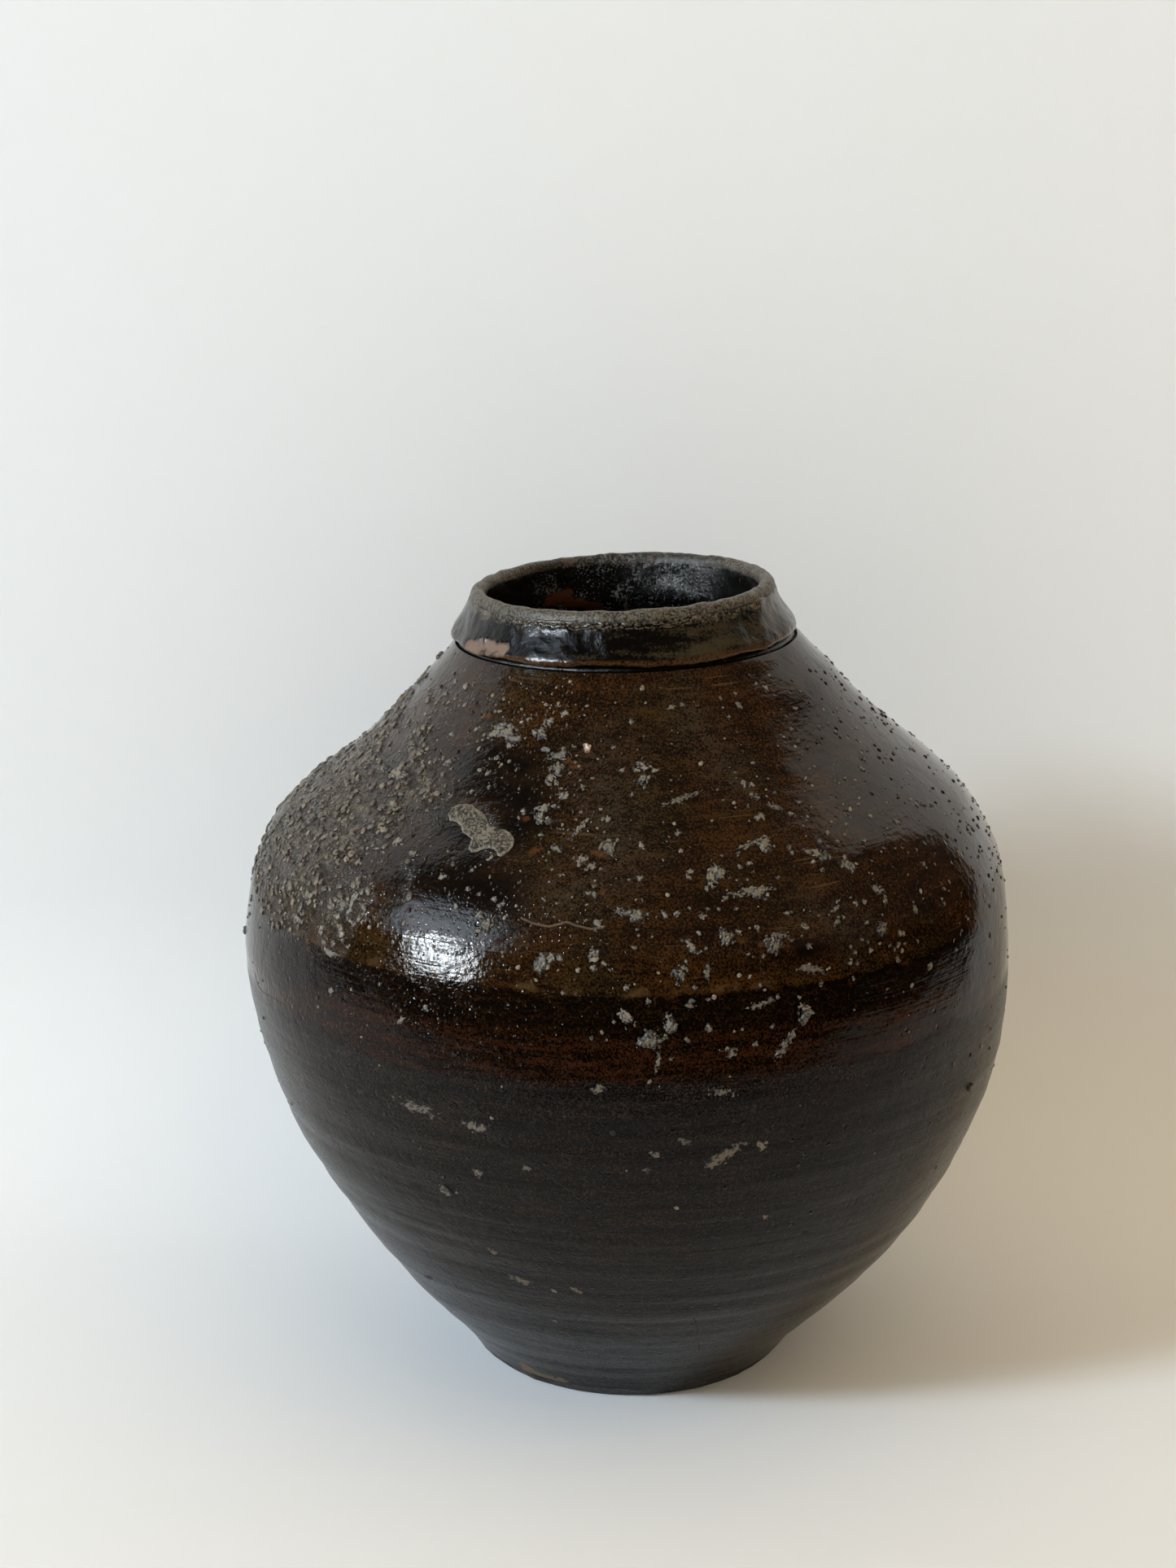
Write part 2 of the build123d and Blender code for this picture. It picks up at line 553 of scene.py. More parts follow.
def glazeMaterial(name, index):
    material = newMaterial(name)
    height = axisField()
    speckle = noiseField(0.8, detail=3, rough=0.75)
    mottle = noiseField(3.4, detail=4, stretch=(0.75, 0.75, 1.5), rough=0.65)
    streaks = noiseField(12, detail=4, stretch=(0.45, 0.45, 3.6), rough=0.62, warp=0.3)
    clouds = noiseField(36, detail=3, rough=0.6)
    lines = noiseField(0.9, detail=1, stretch=(0.025, 0.025, 1))

    # Amber flecks over near black, olive in places
    tone = between(weigh((speckle, 1.7), (mottle, 0.4), (streaks, 0.5), (clouds, 0.5)), 1.38, 1.86)
    patches = between(noiseField(27, detail=2), 0.44, 0.58)
    colour = blendColour(tone, glaze["deep"], blendColour(patches, glaze["amber"], glaze["olive"]))
    flecks = between(weigh((speckle, 1), (mottle, 0.5)), 0.94, 1.06)
    scratches = times(between(lines, 0.66, 0.74), between(clouds, 0.50, 0.60))
    bright = combine("MAXIMUM", times(flecks, 0.42), times(scratches, 0.35))
    colour = blendColour(bright, colour, glaze["honey"])
    smoke = paintedField("smoke")
    film = times(smoke, between(weigh((speckle, 1), (mottle, 1.2)), 0.85, 1.30))
    colour = blendColour(times(film, 0.38), colour, glaze["smoke"])

    # Crest: honey line, black below it, then dark red down to the matt lower body
    wander = weigh((height, 1), (mottle, 5 * mm), (streaks, 4 * mm))
    edge = times(fromHeight(wander, glaze["honeyFrom"]), fromHeight(wander, glaze["honeyTo"]))
    broken = between(noiseField(9, detail=3), 0.48, 0.64)
    broken = times(broken, between(axisField("X"), 62 * mm, 25 * mm))
    colour = blendColour(times(edge, broken, 0.30), colour, glaze["honey"])
    belowCrest = fromHeight(wander, glaze["blackFrom"])
    reddish = fromHeight(wander, glaze["redFrom"])
    redTone = times(reddish, between(weigh((speckle, 1.3), (streaks, 0.8)), 0.94, 1.30))
    bandTone = between(weigh((speckle, 1), (mottle, 0.7)), 0.84, 1.12)
    underneath = blendColour(times(bandTone, 0.4), glaze["black"], glaze["amber"])
    underneath = blendColour(redTone, underneath, glaze["red"])
    colour = blendColour(times(belowCrest, 0.88), colour, underneath)
    lowEdge = weigh((height, 1), (clouds, 12 * mm), (mottle, 3 * mm))
    onLow = fromHeight(lowEdge, glaze["mattFrom"])
    lowTone = between(weigh((speckle, 1), (streaks, 0.4)), 0.66, 0.90)
    colour = blendColour(onLow, colour, blendColour(lowTone, glaze["low"], glaze["lowFleck"]))

    # Places: black patches, rusty spots, crust and bare clay
    ragged = weigh((mottle, 0.9), (speckle, 0.5))
    shade = between(weigh((paintedField("shade"), 1), (ragged, 1.3)), 1.10, 1.90)
    colour = blendColour(times(shade, 0.9), colour, glaze["black"])
    rust = between(weigh((paintedField("rust"), 1), (ragged, 1.6)), 1.72, 2.20)
    colour = blendColour(times(rust, 0.6), colour, glaze["rust"])
    onCrust = paintedField("crust")
    blotch = noiseField(6, detail=3, rough=0.6)
    crusted = between(weigh((onCrust, 1), (blotch, 1.1), (mottle, 0.5)), 1.68, 1.98)
    crustTone = between(weigh((speckle, 1), (mottle, 1)), 0.88, 1.16)
    colour = blendColour(times(onCrust, 0.30), colour, glaze["smoke"])
    crustColour = blendColour(crustTone, crust["dark"], crust["pale"])
    colour = blendColour(crusted, colour, crustColour)
    bare = between(weigh((paintedField("bare"), 1), (ragged, 1.4)), 1.42, 1.62)
    colour = blendColour(bare, colour, glaze["bare"])

    grainy = times(between(speckle, 0.38, 0.62), onLow)
    rough = weigh(
        (between(speckle, 0.5, 0.8), 0.09), (grainy, 0.14), (onLow, glaze["lowGloss"] - glaze["gloss"]),
        (onCrust, 0.06), (crusted, glaze["crustGloss"] - 0.06 - glaze["gloss"]), (film, 0.08), (bare, 0.5),
        (glaze["gloss"], 1),
    )

    # Relief in mm: orange peel that is finer on the left, lumps on the crust, grooves low down
    peel = noiseField(2.3, detail=2, rough=0.5)
    broad = noiseField(7, detail=2, rough=0.5)
    onLeft = between(axisField("X"), 60 * mm, -20 * mm)
    grooves = times(noiseField(4.5, detail=2, stretch=(0.05, 0.05, 1)), onLow)
    openPits = between(cells(6.5), 0.16, 0.05)
    bumps = times(between(cells(7.5), 0.12, 0.04), onLow)
    pinholes = times(between(cells(2.0), 0.26, 0.10), onLeft)
    dots = times(between(cells(2.5), 0.32, 0.10), onCrust)
    lumps = times(between(noiseField(1.9, detail=3, rough=0.6), 0.42, 0.66), onCrust)
    relief = weigh(
        (peel, 0.09), (broad, 0.24), (speckle, 0.03), (times(speckle, onLeft), 0.025),
        (times(peel, onLeft), 0.06), (times(speckle, onLow), 0.08), (lines, 0.05), (grooves, 0.34),
        (openPits, -0.14), (pinholes, -0.11), (bumps, 0.30), (lumps, 0.75), (dots, 0.80),
        (times(speckle, crusted), 0.20),
    )
    setShader(colour, rough, relief, index)
    return material


# Outer glaze, in two coats that meet at the crest
coat = {
    "thickness": 0.5,
    "bodySides": 120,
    "bodyRows": 24,
    "shoulderSides": 138,
    "shoulderRows": 20,
    "crestAboveLap": 9,   # mm from the shoulder course's lowest edge up to the crest
    "lowGap": 0.05,
    "highGap": 0.3,
}


def makeCoat(name, low, high, rows, sides):
    piece = turnRows(name, evenRows(outerTree, low, high, rows), sides)
    faceAway(piece)
    smooth(piece, 2)
    formByHand(piece, bodyRelief)
    return piece


outerTree = treeOf(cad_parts["outer_glaze"])
coatLow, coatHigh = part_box("outer_glaze")
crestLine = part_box("shoulder_wall")[0].z + coat["crestAboveLap"] * mm
bottomLine = coatLow.z + coat["lowGap"] * mm
topLine = coatHigh.z - coat["highGap"] * mm
bodyGlaze = makeCoat("bodyGlaze", bottomLine, crestLine, coat["bodyRows"], coat["bodySides"])
shoulderGlaze = makeCoat("shoulderGlaze", crestLine, topLine, coat["shoulderRows"], coat["shoulderSides"])
glazeTree = treeOf(bodyGlaze, shoulderGlaze)


def seenAt(x, y):
    return seenOn(glazeTree, x, y)


def glazeAt(turn, height):
    angle = math.radians(turn)
    away = Vector((math.cos(angle), math.sin(angle), 0))
    place, normal = glazeTree.ray_cast(away * 0.3 + Vector((0, 0, height * mm)), -away)[:2]
    return place, normal


# Patches of the glaze as seen in the photograph: start, end and reach in mm
patches = {
    "shade": (
        (505, 1068, 612, 1104, 11), (560, 1078, 640, 1010, 9), (575, 950, 640, 985, 9),
        (545, 1000, 585, 1048, 6), (600, 925, 640, 945, 5), (985, 1168, 1190, 1146, 3),
    ),
    "smoke": (
        (735, 930, 760, 1060, 10), (640, 1110, 730, 1085, 9), (850, 880, 900, 960, 7),
        (1000, 1120, 1060, 1150, 7),
    ),
    "rust": (
        (362, 1118, 390, 1130, 2.6), (372, 1140, 380, 1168, 1.6), (692, 930, 708, 940, 2.6),
        (597, 878, 604, 880, 2), (730, 1046, 738, 1052, 2.2), (706, 1054, 716, 1060, 2.0),
        (650, 1050, 664, 1042, 2), (640, 1000, 648, 1006, 2.4), (905, 1157, 968, 1163, 1.3),
        (728, 1086, 740, 1094, 2),
    ),
    "bare": ((646, 1684, 692, 1697, 2.2), (640, 1676, 648, 1680, 1.6)),
}


def paintCoat(piece):
    paintField(piece, "crust", lambda point: crustAt(point) if point.z > 150 * mm else 0)
    for name, table in patches.items():
        strokes = strokesSeen(glazeTree, table)
        paintField(piece, name, lambda point: fadeStrokes(point, strokes) if point.y < 0 else 0)


shoulderMaterial = glazeMaterial("darkAmberGlaze", glaze["shoulderIndex"])
bodyMaterial = glazeMaterial("darkLowerGlaze", glaze["bodyIndex"])
for piece, material in ((bodyGlaze, bodyMaterial), (shoulderGlaze, shoulderMaterial)):
    paintCoat(piece)
    applyModifier(piece, "SOLIDIFY", thickness=coat["thickness"] * mm, offset=-1, use_even_offset=True)
    finishPiece(piece, material, "outer_glaze", "outer_glaze")


# Clay courses under the glaze, turned again from the frame's sections so that they follow the hand marks
clay = {
    "fired": (0.165, 0.105, 0.072),
    "dark": (0.060, 0.040, 0.030),
    "grain": 1.4,
    "sides": 96,
    "step": 5.0,
    "gap": 0.06,   # mm left free under the glaze
}


def clayMaterial(name, fired, dark):
    material = newMaterial(name)
    grain = noiseField(clay["grain"], detail=5, rough=0.7)
    clouds = noiseField(14, detail=3)
    tone = between(weigh((grain, 1), (clouds, 1)), 0.7, 1.35)
    setShader(blendColour(tone, dark, fired), between(grain, 0.3, 0.7, 0.72, 0.92), times(grain, 0.3))
    return material


wallClay = clayMaterial("firedClay", clay["fired"], clay["dark"])


def clayRelief(point, normal):
    outside = normal.xy.dot(point.xy) > 0
    follow = bodyRelief(point, normal) if outside else 0
    return follow - clay["gap"] * mm


def makeClay(pieceName, nodeName):
    low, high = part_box(nodeName)
    height = (high.z - low.z) / mm
    rows = max(16, round((height * 2.6 + 14) / clay["step"]))
    piece = turnSection(pieceName, nodeName, rows, clay["sides"], 1)
    formByHand(piece, clayRelief)
    return piece


for nodeName, pieceName, slot in (
    ("foot_seam_coil", "footSeamCoil", "foot_clay"),
    ("lower_wall", "lowerWall", "wall_clay"),
    ("middle_wall", "middleWall", "wall_clay"),
    ("belly_wall", "bellyWall", "wall_clay"),
    ("shoulder_wall", "shoulderWall", "wall_clay"),
):
    finishPiece(makeClay(pieceName, nodeName), wallClay, slot, nodeName)


# Base slab with its worn bevelled edge and the chip at the front left
base = {
    "sides": 96,
    "bevel": 4.5,
    "edgeHeight": 5,
    "topInset": 4,
    "wear": 0.9,
    "wearSize": 7,
    "chipSeen": (668, 1690),
    "chipReach": 8,
    "chipDepth": 2.2,
    "bare": (0.120, 0.088, 0.058),
    "sooty": (0.0070, 0.0055, 0.0048),
}
footTree = treeOf(bodyGlaze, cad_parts["base_disc"])
chipPlace = seenOn(footTree, *base["chipSeen"])[0]


def chipAt(point):
    ragged = wave(point, 2.2) * 0.35
    near = max(0, 1 - (point - chipPlace).length / (base["chipReach"] * mm) + ragged * 0.5)
    return min(1, near * 2) * base["chipDepth"] * mm


def baseRelief(point, normal):
    edge = ease(point.xy.length / mm, 52, 58) * ease(point.z / mm, -0.2, 1.5)
    wear = wave(point, base["wearSize"]) + 0.5 * wave(point, 2.5)
    return (wear * base["wear"] * 0.5 * mm - chipAt(point)) * edge


def baseMaterial():
    material = newMaterial("sootyFoot")
    grain = noiseField(1.2, detail=5, rough=0.7)
    worn = noiseField(9, detail=4, rough=0.65)
    chipped = times(paintedField("bare"), between(grain, 0.36, 0.56))
    tone = weigh((between(worn, 0.54, 0.74), 0.25), (chipped, 0.8))
    colour = blendColour(tone, base["sooty"], base["bare"])
    setShader(colour, between(grain, 0.3, 0.7, 0.45, 0.8), times(grain, 0.35))
    return material


def makeBase():
    low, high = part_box("base_disc")
    ground = high.x - base["bevel"] * mm
    lowEdge = Vector((ground, low.z))
    edge = Vector((high.x, base["edgeHeight"] * mm))
    topEdge = Vector((high.x - base["topInset"] * mm, high.z))
    side = [lowEdge.lerp(edge, share / 4) for share in range(5)]
    side += [edge.lerp(topEdge, share / 3) for share in range(1, 4)]
    inner = [(ground * share, high.z) for share in (0.85, 0.5, 0.12)]
    under = [(ground * share, low.z) for share in (0.12, 0.5, 0.85, 0.97)]
    piece = turnRows("baseDisc", under + [tuple(row) for row in side] + inner, base["sides"])
    bpy.ops.mesh.merge(type="CENTER")
    bpy.ops.mesh.select_non_manifold()
    bpy.ops.mesh.merge(type="CENTER")
    faceOutwards()
    smooth(piece, 2)
    formByHand(piece, baseRelief)
    for vertex in piece.data.vertices:
        vertex.co.z = max(vertex.co.z, 0)
    paintField(piece, "bare", lambda point: nearStrokes(point, [(chipPlace, chipPlace, 6)], 3, 3))
    return piece


finishPiece(makeBase(), baseMaterial(), "foot_clay", "base_disc")


# Neck ring: black throat, and the thin lip worn to olive and tan
neck = {
    "sides": 150,
    "rows": 24,
    "wornDepth": 0.45,
    "wornSize": 7,
    "lipFrom": 291.6,
    "olive": (0.140, 0.119, 0.083),
    "tan": (0.170, 0.122, 0.080),
    "black": (0.0026, 0.0023, 0.0021),
    "rust": (0.040, 0.014, 0.007),
    "rustSpot": (0.046, 0.019, 0.009),
    "rustSeen": ((676, 742, 700, 730, 2.6), (700, 742, 735, 747, 2.2)),
    "pink": (0.070, 0.040, 0.032),
    # grey of the painted sheen inside the back of the throat
    "paintedSheenGrey": (0.150, 0.150, 0.145),
    "sheen": 0.30,
}


def neckRelief(point, normal):
    high = ease(point.z / mm, 287, 294)
    rough = wave(point, neck["wornSize"]) + 0.45 * wave(point, 2.4)
    throat = wave(point, 6) * 0.25
    return (rough * neck["wornDepth"] * high + throat) * mm


def neckMaterial():
    material = newMaterial("wornLipGlaze")
    rise = paintedField("rise")
    clouds = noiseField(8, detail=5, rough=0.65)
    grain = noiseField(0.9, detail=4, rough=0.7)
    onLip = between(weigh((rise, 1), (clouds, 2.4)), neck["lipFrom"] + 0.8, neck["lipFrom"] + 2.2)
    worn = blendColour(between(grain, 0.38, 0.62), glaze["deep"], neck["olive"])
    worn = blendColour(between(weigh((clouds, 1), (grain, 0.5)), 0.86, 0.96), worn, neck["tan"])
    rust = between(weigh((noiseField(14, detail=4), 1), (grain, 0.3)), 0.80, 0.86)
    inside = blendColour(rust, neck["black"], neck["rust"])
    # Grey specks inside the back of the throat: a painted sheen, standing in for the speckled reflection
    # there
    atBack = between(axisField("Y"), 30 * mm, 48 * mm)
    paintedSheenSpecks = times(between(weigh((grain, 1), (clouds, 0.8)), 0.92, 1.15), atBack)
    inside = blendColour(paintedSheenSpecks, inside, neck["paintedSheenGrey"])
    upper = between(rise, 287, 291)
    pink = between(weigh((noiseField(13, detail=3), 1), (grain, 0.3)), 0.78, 0.84)
    inside = blendColour(times(upper, pink), inside, neck["pink"])
    spot = between(weigh((paintedField("rust"), 1), (clouds, 1), (grain, 0.6)), 1.20, 1.42)
    inside = blendColour(spot, inside, blendColour(grain, neck["rust"], neck["rustSpot"]))
    front = between(axisField("Y"), 46 * mm, 24 * mm, 0.35, 1)
    rough = weigh((onLip, 0.22), (rust, 0.2), (0.20, 1))
    relief = weigh((grain, 0.24), (noiseField(3, detail=3), 0.35))
    setShader(blendColour(times(onLip, front), inside, worn), rough, relief, glaze["shoulderIndex"])
    return material


mouthTree = treeOf(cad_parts["inner_glaze"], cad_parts["neck_ring"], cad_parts["rim_band"])
rustStrokes = strokesSeen(mouthTree, neck["rustSeen"])
neckRing = turnSection("neckRing", "neck_ring", neck["rows"], neck["sides"])
paintField(neckRing, "rise", lambda point: point.z / mm)
paintField(neckRing, "rust", lambda point: fadeStrokes(settled(point), rustStrokes))
formByHand(neckRing, neckRelief)
finishPiece(neckRing, neckMaterial(), "neck", "neck_ring", angle=60)


# Rim band, folded over the neck, with its crack line, chip and wavy lower edge
band = {
    "sides": 156,
    "rows": 18,
    "lumpSize": 12,
    "lumpDepth": 0.75,
    "foldProud": 0.45,
    "foldWave": 0.8,
    "edgeWave": 0.9,
    "edgeWaveSize": 26,
    "chipTurns": (207, 226),
    "chipHeights": (278.6, 281.6),
    "chipRadii": (61, 60.5),
    "chipReach": 3.0,
    "chipRagged": 1.6,
    "chipDepth": 0.8,
    "crackTurns": (226, 300),
    "crackHeight": 290.4,
    "crackDepth": 0.7,
    "bareClay": (0.185, 0.105, 0.078),
    "rustEdge": (0.066, 0.028, 0.008),
    "olive": (0.036, 0.027, 0.013),
}


def bandChip(point):
    start, end = [onJar(*values) for values in zip(band["chipTurns"], band["chipHeights"], band["chipRadii"])]
    return nearStrokes(point, [(start, end, band["chipReach"])], band["chipRagged"], 3)


# Closeness to the jagged line where the folded strip broke away from the lip
def bandCrack(point):
    low, high = band["crackTurns"]
    turn = math.degrees(math.atan2(point.y, point.x)) % 360
    shown = ease(turn, low, low + 6) * (1 - ease(turn, high - 8, high))
    flat = Vector((point.x, point.y, 0))
    jag = wave(flat, 7) * 1.6 + wave(flat, 2.2) * 0.9
    away = abs(point.z / mm - band["crackHeight"] - jag)
    return shown * max(0, 1 - away / 0.75)


def bandRelief(point, normal):
    height = point.z / mm
    lumps = wave(point, band["lumpSize"]) * band["lumpDepth"]
    lumps += wave(point, 3.5) * 0.16
    fold = ease(height, 289, 292) * band["foldProud"] * (0.6 + wave(point, 5))
    chip = bandChip(point) * band["chipDepth"] + bandCrack(point) * band["crackDepth"]
    return (lumps + fold - chip * ease(normal.z, -0.3, 0.2)) * mm


def waveBand(piece):
    for vertex in piece.data.vertices:
        height = vertex.co.z / mm
        flat = Vector((vertex.co.x, vertex.co.y, 0))
        edge = wave(flat, band["edgeWaveSize"]) * band["edgeWave"]
        edge += wave(flat, 5) * 0.3
        fold = wave(flat, 6) * band["foldWave"] * ease(height, 288, 292)
        vertex.co.z += (edge * (1 - ease(height, 277, 285)) + fold) * mm
    piece.data.update()


def bandMaterial():
    material = newMaterial("collarGlaze")
    rise = paintedField("rise")
    clouds = noiseField(12, detail=5, rough=0.62, warp=0.4)
    grain = noiseField(1.0, detail=4, rough=0.7)
    streaks = noiseField(14, detail=4, stretch=(0.6, 0.6, 3), rough=0.6)
    right = between(axisField("X"), -5 * mm, 35 * mm)
    tone = between(weigh((streaks, 1), (grain, 0.6), (right, 0.20)), 0.84, 1.10)
    colour = blendColour(tone, glaze["black"], band["olive"])
    top = between(weigh((rise, 1), (clouds, 9), (grain, 3)), 294.0, 299.5)
    worn = blendColour(between(grain, 0.38, 0.60), glaze["deep"], neck["olive"])
    colour = blendColour(times(top, 0.9), colour, worn)
    tanned = times(top, between(weigh((clouds, 1), (grain, 0.5)), 0.82, 0.92))
    colour = blendColour(tanned, colour, neck["tan"])
    low = between(weigh((rise, 1), (streaks, 2.4), (grain, 1.2)), 281.9, 280.7)
    colour = blendColour(times(low, between(grain, 0.34, 0.6)), colour, band["rustEdge"])
    crack = paintedField("crack")
    beside = times(between(crack, 0.02, 0.25), between(grain, 0.44, 0.58))
    colour = blendColour(times(beside, 0.7), colour, neck["tan"])
    colour = blendColour(between(crack, 0.45, 0.8), colour, glaze["black"])
    chip = paintedField("chip")
    bare = blendColour(between(grain, 0.3, 0.7), band["bareClay"], neck["tan"])
    colour = blendColour(chip, colour, bare)
    rough = weigh((top, 0.26), (chip, 0.6), (between(grain, 0.45, 0.7), 0.12), (0.10, 1))
    relief = weigh((grain, 0.12), (noiseField(2.6, detail=2), 0.20), (noiseField(7, detail=2), 0.4))
    setShader(colour, rough, relief, glaze["bandIndex"])
    return material


rimBand = turnSection("rimBand", "rim_band", band["rows"], band["sides"])
paintField(rimBand, "rise", lambda point: point.z / mm)
paintField(rimBand, "chip", bandChip)
paintField(rimBand, "crack", bandCrack)
waveBand(rimBand)
formByHand(rimBand, bandRelief)
finishPiece(rimBand, bandMaterial(), "rim_band", "rim_band", angle=60)


# Inner glaze, black and glossy, with one rusty bare patch
lining = {
    "sides": 96,
    "rows": 28,
    "thickness": 0.5,
    "pitch": 11,
    "ridge": 0.5,
    "floorRows": ((0.94, 3.2), (0.86, 0.6), (0.6, 0), (0.15, 0)),   # share of the radius, and rise in mm
}


def liningRelief(point, normal):
    turn = math.atan2(point.y, point.x)
    ridge = math.sin(2 * math.pi * point.z / mm / lining["pitch"] + turn) * lining["ridge"]
    return (ridge + wave(point, 14) * 0.5) * 0.5 * mm


def liningMaterial():
    material = newMaterial("blackLiningGlaze")
    clouds = noiseField(15, detail=4, rough=0.6)
    grain = noiseField(1.1, detail=4, rough=0.7)
    rust = between(weigh((paintedField("rust"), 1), (clouds, 1), (grain, 0.6)), 1.20, 1.42)
    spotted = blendColour(between(grain, 0.42, 0.58), neck["black"], neck["rustSpot"])
    colour = blendColour(rust, neck["black"], spotted)
    rough = weigh((rust, 0.25), (neck["sheen"], 1))
    relief = weigh((grain, 0.35), (noiseField(4, detail=3), 0.6))
    setShader(colour, rough, relief, glaze["shoulderIndex"])
    return material


def makeLining():
    tree = treeOf(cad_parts["inner_glaze"])
    low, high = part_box("inner_glaze")
    floor = low.z + lining["thickness"] * mm
    side = evenRows(tree, high.z - 0.2 * mm, floor + 7 * mm, lining["rows"], inside=True)
    corner = side[-1].x
    ground = [(corner * share, floor + rise * mm) for share, rise in lining["floorRows"]]
    piece = turnRows("innerGlaze", [tuple(row) for row in side] + ground, lining["sides"])
    bpy.ops.mesh.merge(type="CENTER")
    faceAway(piece, inwards=True)
    smooth(piece, 2)
    formByHand(piece, liningRelief)
    paintField(piece, "rust", lambda point: fadeStrokes(settled(point), rustStrokes))
    applyModifier(piece, "SOLIDIFY", thickness=lining["thickness"] * mm, offset=-1)
    return piece


finishPiece(makeLining(), liningMaterial(), "inner_glaze", "inner_glaze")


# Kiln grit: rough lumps where the frame has them, flakes and grains seen in the photograph
grit = {
    "shapes": 6,
    "seed": 7,
    "crustGrains": 2000,
    "looseGrains": 1500,
    "bareShare": 0.42,
    "crustSmallest": 0.45,
    "crustLargest": 1.60,
    "smallest": 0.26,
    "largest": 0.95,
    "dark": (0.012, 0.0090, 0.0062),
    "grey": (0.100, 0.081, 0.053),
    "pale": (0.240, 0.200, 0.140),
    "brown": (0.070, 0.051, 0.031),
    "tan": (0.200, 0.157, 0.104),
    "gloss": 0.32,
    "crustGloss": 0.14,
    "lumpHigh": 0.8,
    "lumpRagged": 0.5,
    "lumpSteps": 20,
    "sunk": 0.04,   # mm that a grain sits in the glaze
    "crustSunk": 0.06,
    "heights": (20, 272),
    "thickTurns": (340, 235),   # where loose grit lies thickest, on the right and on the left
}


def gritMaterial(name, dark, grey, pale, gloss):
    material = newMaterial(name)
    grain = noiseField(0.6, detail=3, rough=0.75)
    ridge = paintedField("ridge")
    crown = paintedField("crown")
    tint = paintedField("tint")
    # The wrinkle ridges and the grain give the grit its own mottled tone; the crown field, highest at a
    # stone's top and in a flake's middle, makes tops pale and edges dark: painted light and shade
    toneAndPaintedLight = between(weigh((ridge, 1), (grain, 0.9), (crown, 0.6)), 1.08, 1.32)
    colour = blendColour(toneAndPaintedLight, dark, blendColour(tint, grey, pale))
    setShader(colour, between(grain, 0.35, 0.65, gloss, gloss + 0.3), times(grain, 0.22))
    return material


# Round stone with crinkles, cut off flat below the glaze
def roughStone(name, detail, ragged, crinkle, seed):
    freshStart()
    bpy.ops.mesh.primitive_ico_sphere_add(subdivisions=detail, radius=1)
    stone = bpy.context.object
    stone.name = name
    shift = Vector((seed * 3.7, seed * 1.3, seed * 5.1))
    ridges = []
    for vertex in stone.data.vertices:
        bulge = noise.noise(vertex.co * 1.1 + shift) + 0.5 * noise.noise(vertex.co * 2.7 + shift)
        wrinkle = noise.noise(vertex.co * 5.5 + shift) + 0.6 * noise.noise(vertex.co * 11 + shift)
        ridges.append(0.5 + wrinkle * 0.8)
        vertex.co *= 1 + ragged * bulge + crinkle * wrinkle
    storeField(stone, "ridge", ridges)
    editAll(stone)
    bpy.ops.mesh.bisect(plane_co=(0, 0, -0.42), plane_no=(0, 0, 1), use_fill=True, clear_inner=True)
    leaveEdit()
    return stone


def laidOn(place, normal, along, sizes, sink):
    up = normal.normalized()
    side = up.cross(along).normalized()
    forward = side.cross(up)
    turn = Matrix((forward, side, up)).transposed().to_4x4()
    return Matrix.Translation(place - up * sink) @ turn @ Matrix.Diagonal((*sizes, 1))


def pieceFrom(name, points, faces, fields):
    mesh = bpy.data.meshes.new(name)
    mesh.from_pydata(points, [], faces)
    mesh.update()
    piece = bpy.data.objects.new(name, mesh)
    bpy.context.scene.collection.objects.link(piece)
    for field, values in fields.items():
        storeField(piece, field, values)
    return piece


# Thin patches of fused grit that follow the glaze, ragged at their edges and sunk in it there
def layPatches(name, laid):
    points = []
    faces = []
    fields = {"ridge": [], "crown": [], "tint": []}
    for place, normal, along, sizes, thick, ragged, steps, tint in laid:
        side = normal.cross(along).normalized()
        forward = side.cross(normal)
        width = min(sizes)
        grid = {}
        for row in range(steps + 1):
            for column in range(steps + 1):
                u = (column / steps * 2 - 1) * 1.35
                v = (row / steps * 2 - 1) * 1.35
                spot = place + forward * (u * sizes[0] / 2) + side * (v * sizes[1] / 2)
                uneven = noise.noise(spot / (width * 0.45)) + 0.7 * noise.noise(spot / (width * 0.2))
                shape = 1 - math.hypot(u, v) + ragged * uneven
                if shape > -0.35:
                    grid[row, column] = spot, shape
        shown = []
        for row, column in grid:
            corners = [(row, column), (row, column + 1), (row + 1, column + 1), (row + 1, column)]
            if all(corner in grid for corner in corners):
                shown.append(corners)
        order = {}
        for corner in sorted({corner for corners in shown for corner in corners}):
            order[corner] = len(points)
            spot, shape = grid[corner]
            wrinkle = wave(spot, 0.62) + 0.7 * wave(spot, 0.3)
            surface, away = glazeTree.find_nearest(spot)[:2]
            rise = thick * ease(shape, 0, 0.35) * (1 + 0.6 * wrinkle) - 0.09 * mm * (1 - ease(shape, 0, 0.1))
            points.append(surface + away * rise)
            fields["ridge"].append(0.5 + 0.6 * wrinkle)
            # Height of the shape, highest in the middle, read by the grit material as painted light
            fields["crown"].append(shape)
            fields["tint"].append(tint)
        faces += [[order[corner] for corner in corners] for corners in shown]
    return pieceFrom(name, points, faces, fields)


# Copies of the stones, joined in one piece; each is laid by a matrix and has its own tint
def layStones(name, laid):
    points = []
    faces = []
    fields = {"ridge": [], "crown": [], "tint": []}
    for stone, matrix, tint in laid:
        start = len(points)
        count = len(stone.data.vertices)
        points += [matrix @ vertex.co for vertex in stone.data.vertices]
        faces += [[start + index for index in face.vertices] for face in stone.data.polygons]
        fields["ridge"] += [item.value for item in stone.data.attributes["ridge"].data]
        # Height in the stone, read by the grit material as painted light on its top
        fields["crown"] += [vertex.co.z for vertex in stone.data.vertices]
        fields["tint"] += [tint] * count
    return pieceFrom(name, points, faces, fields)


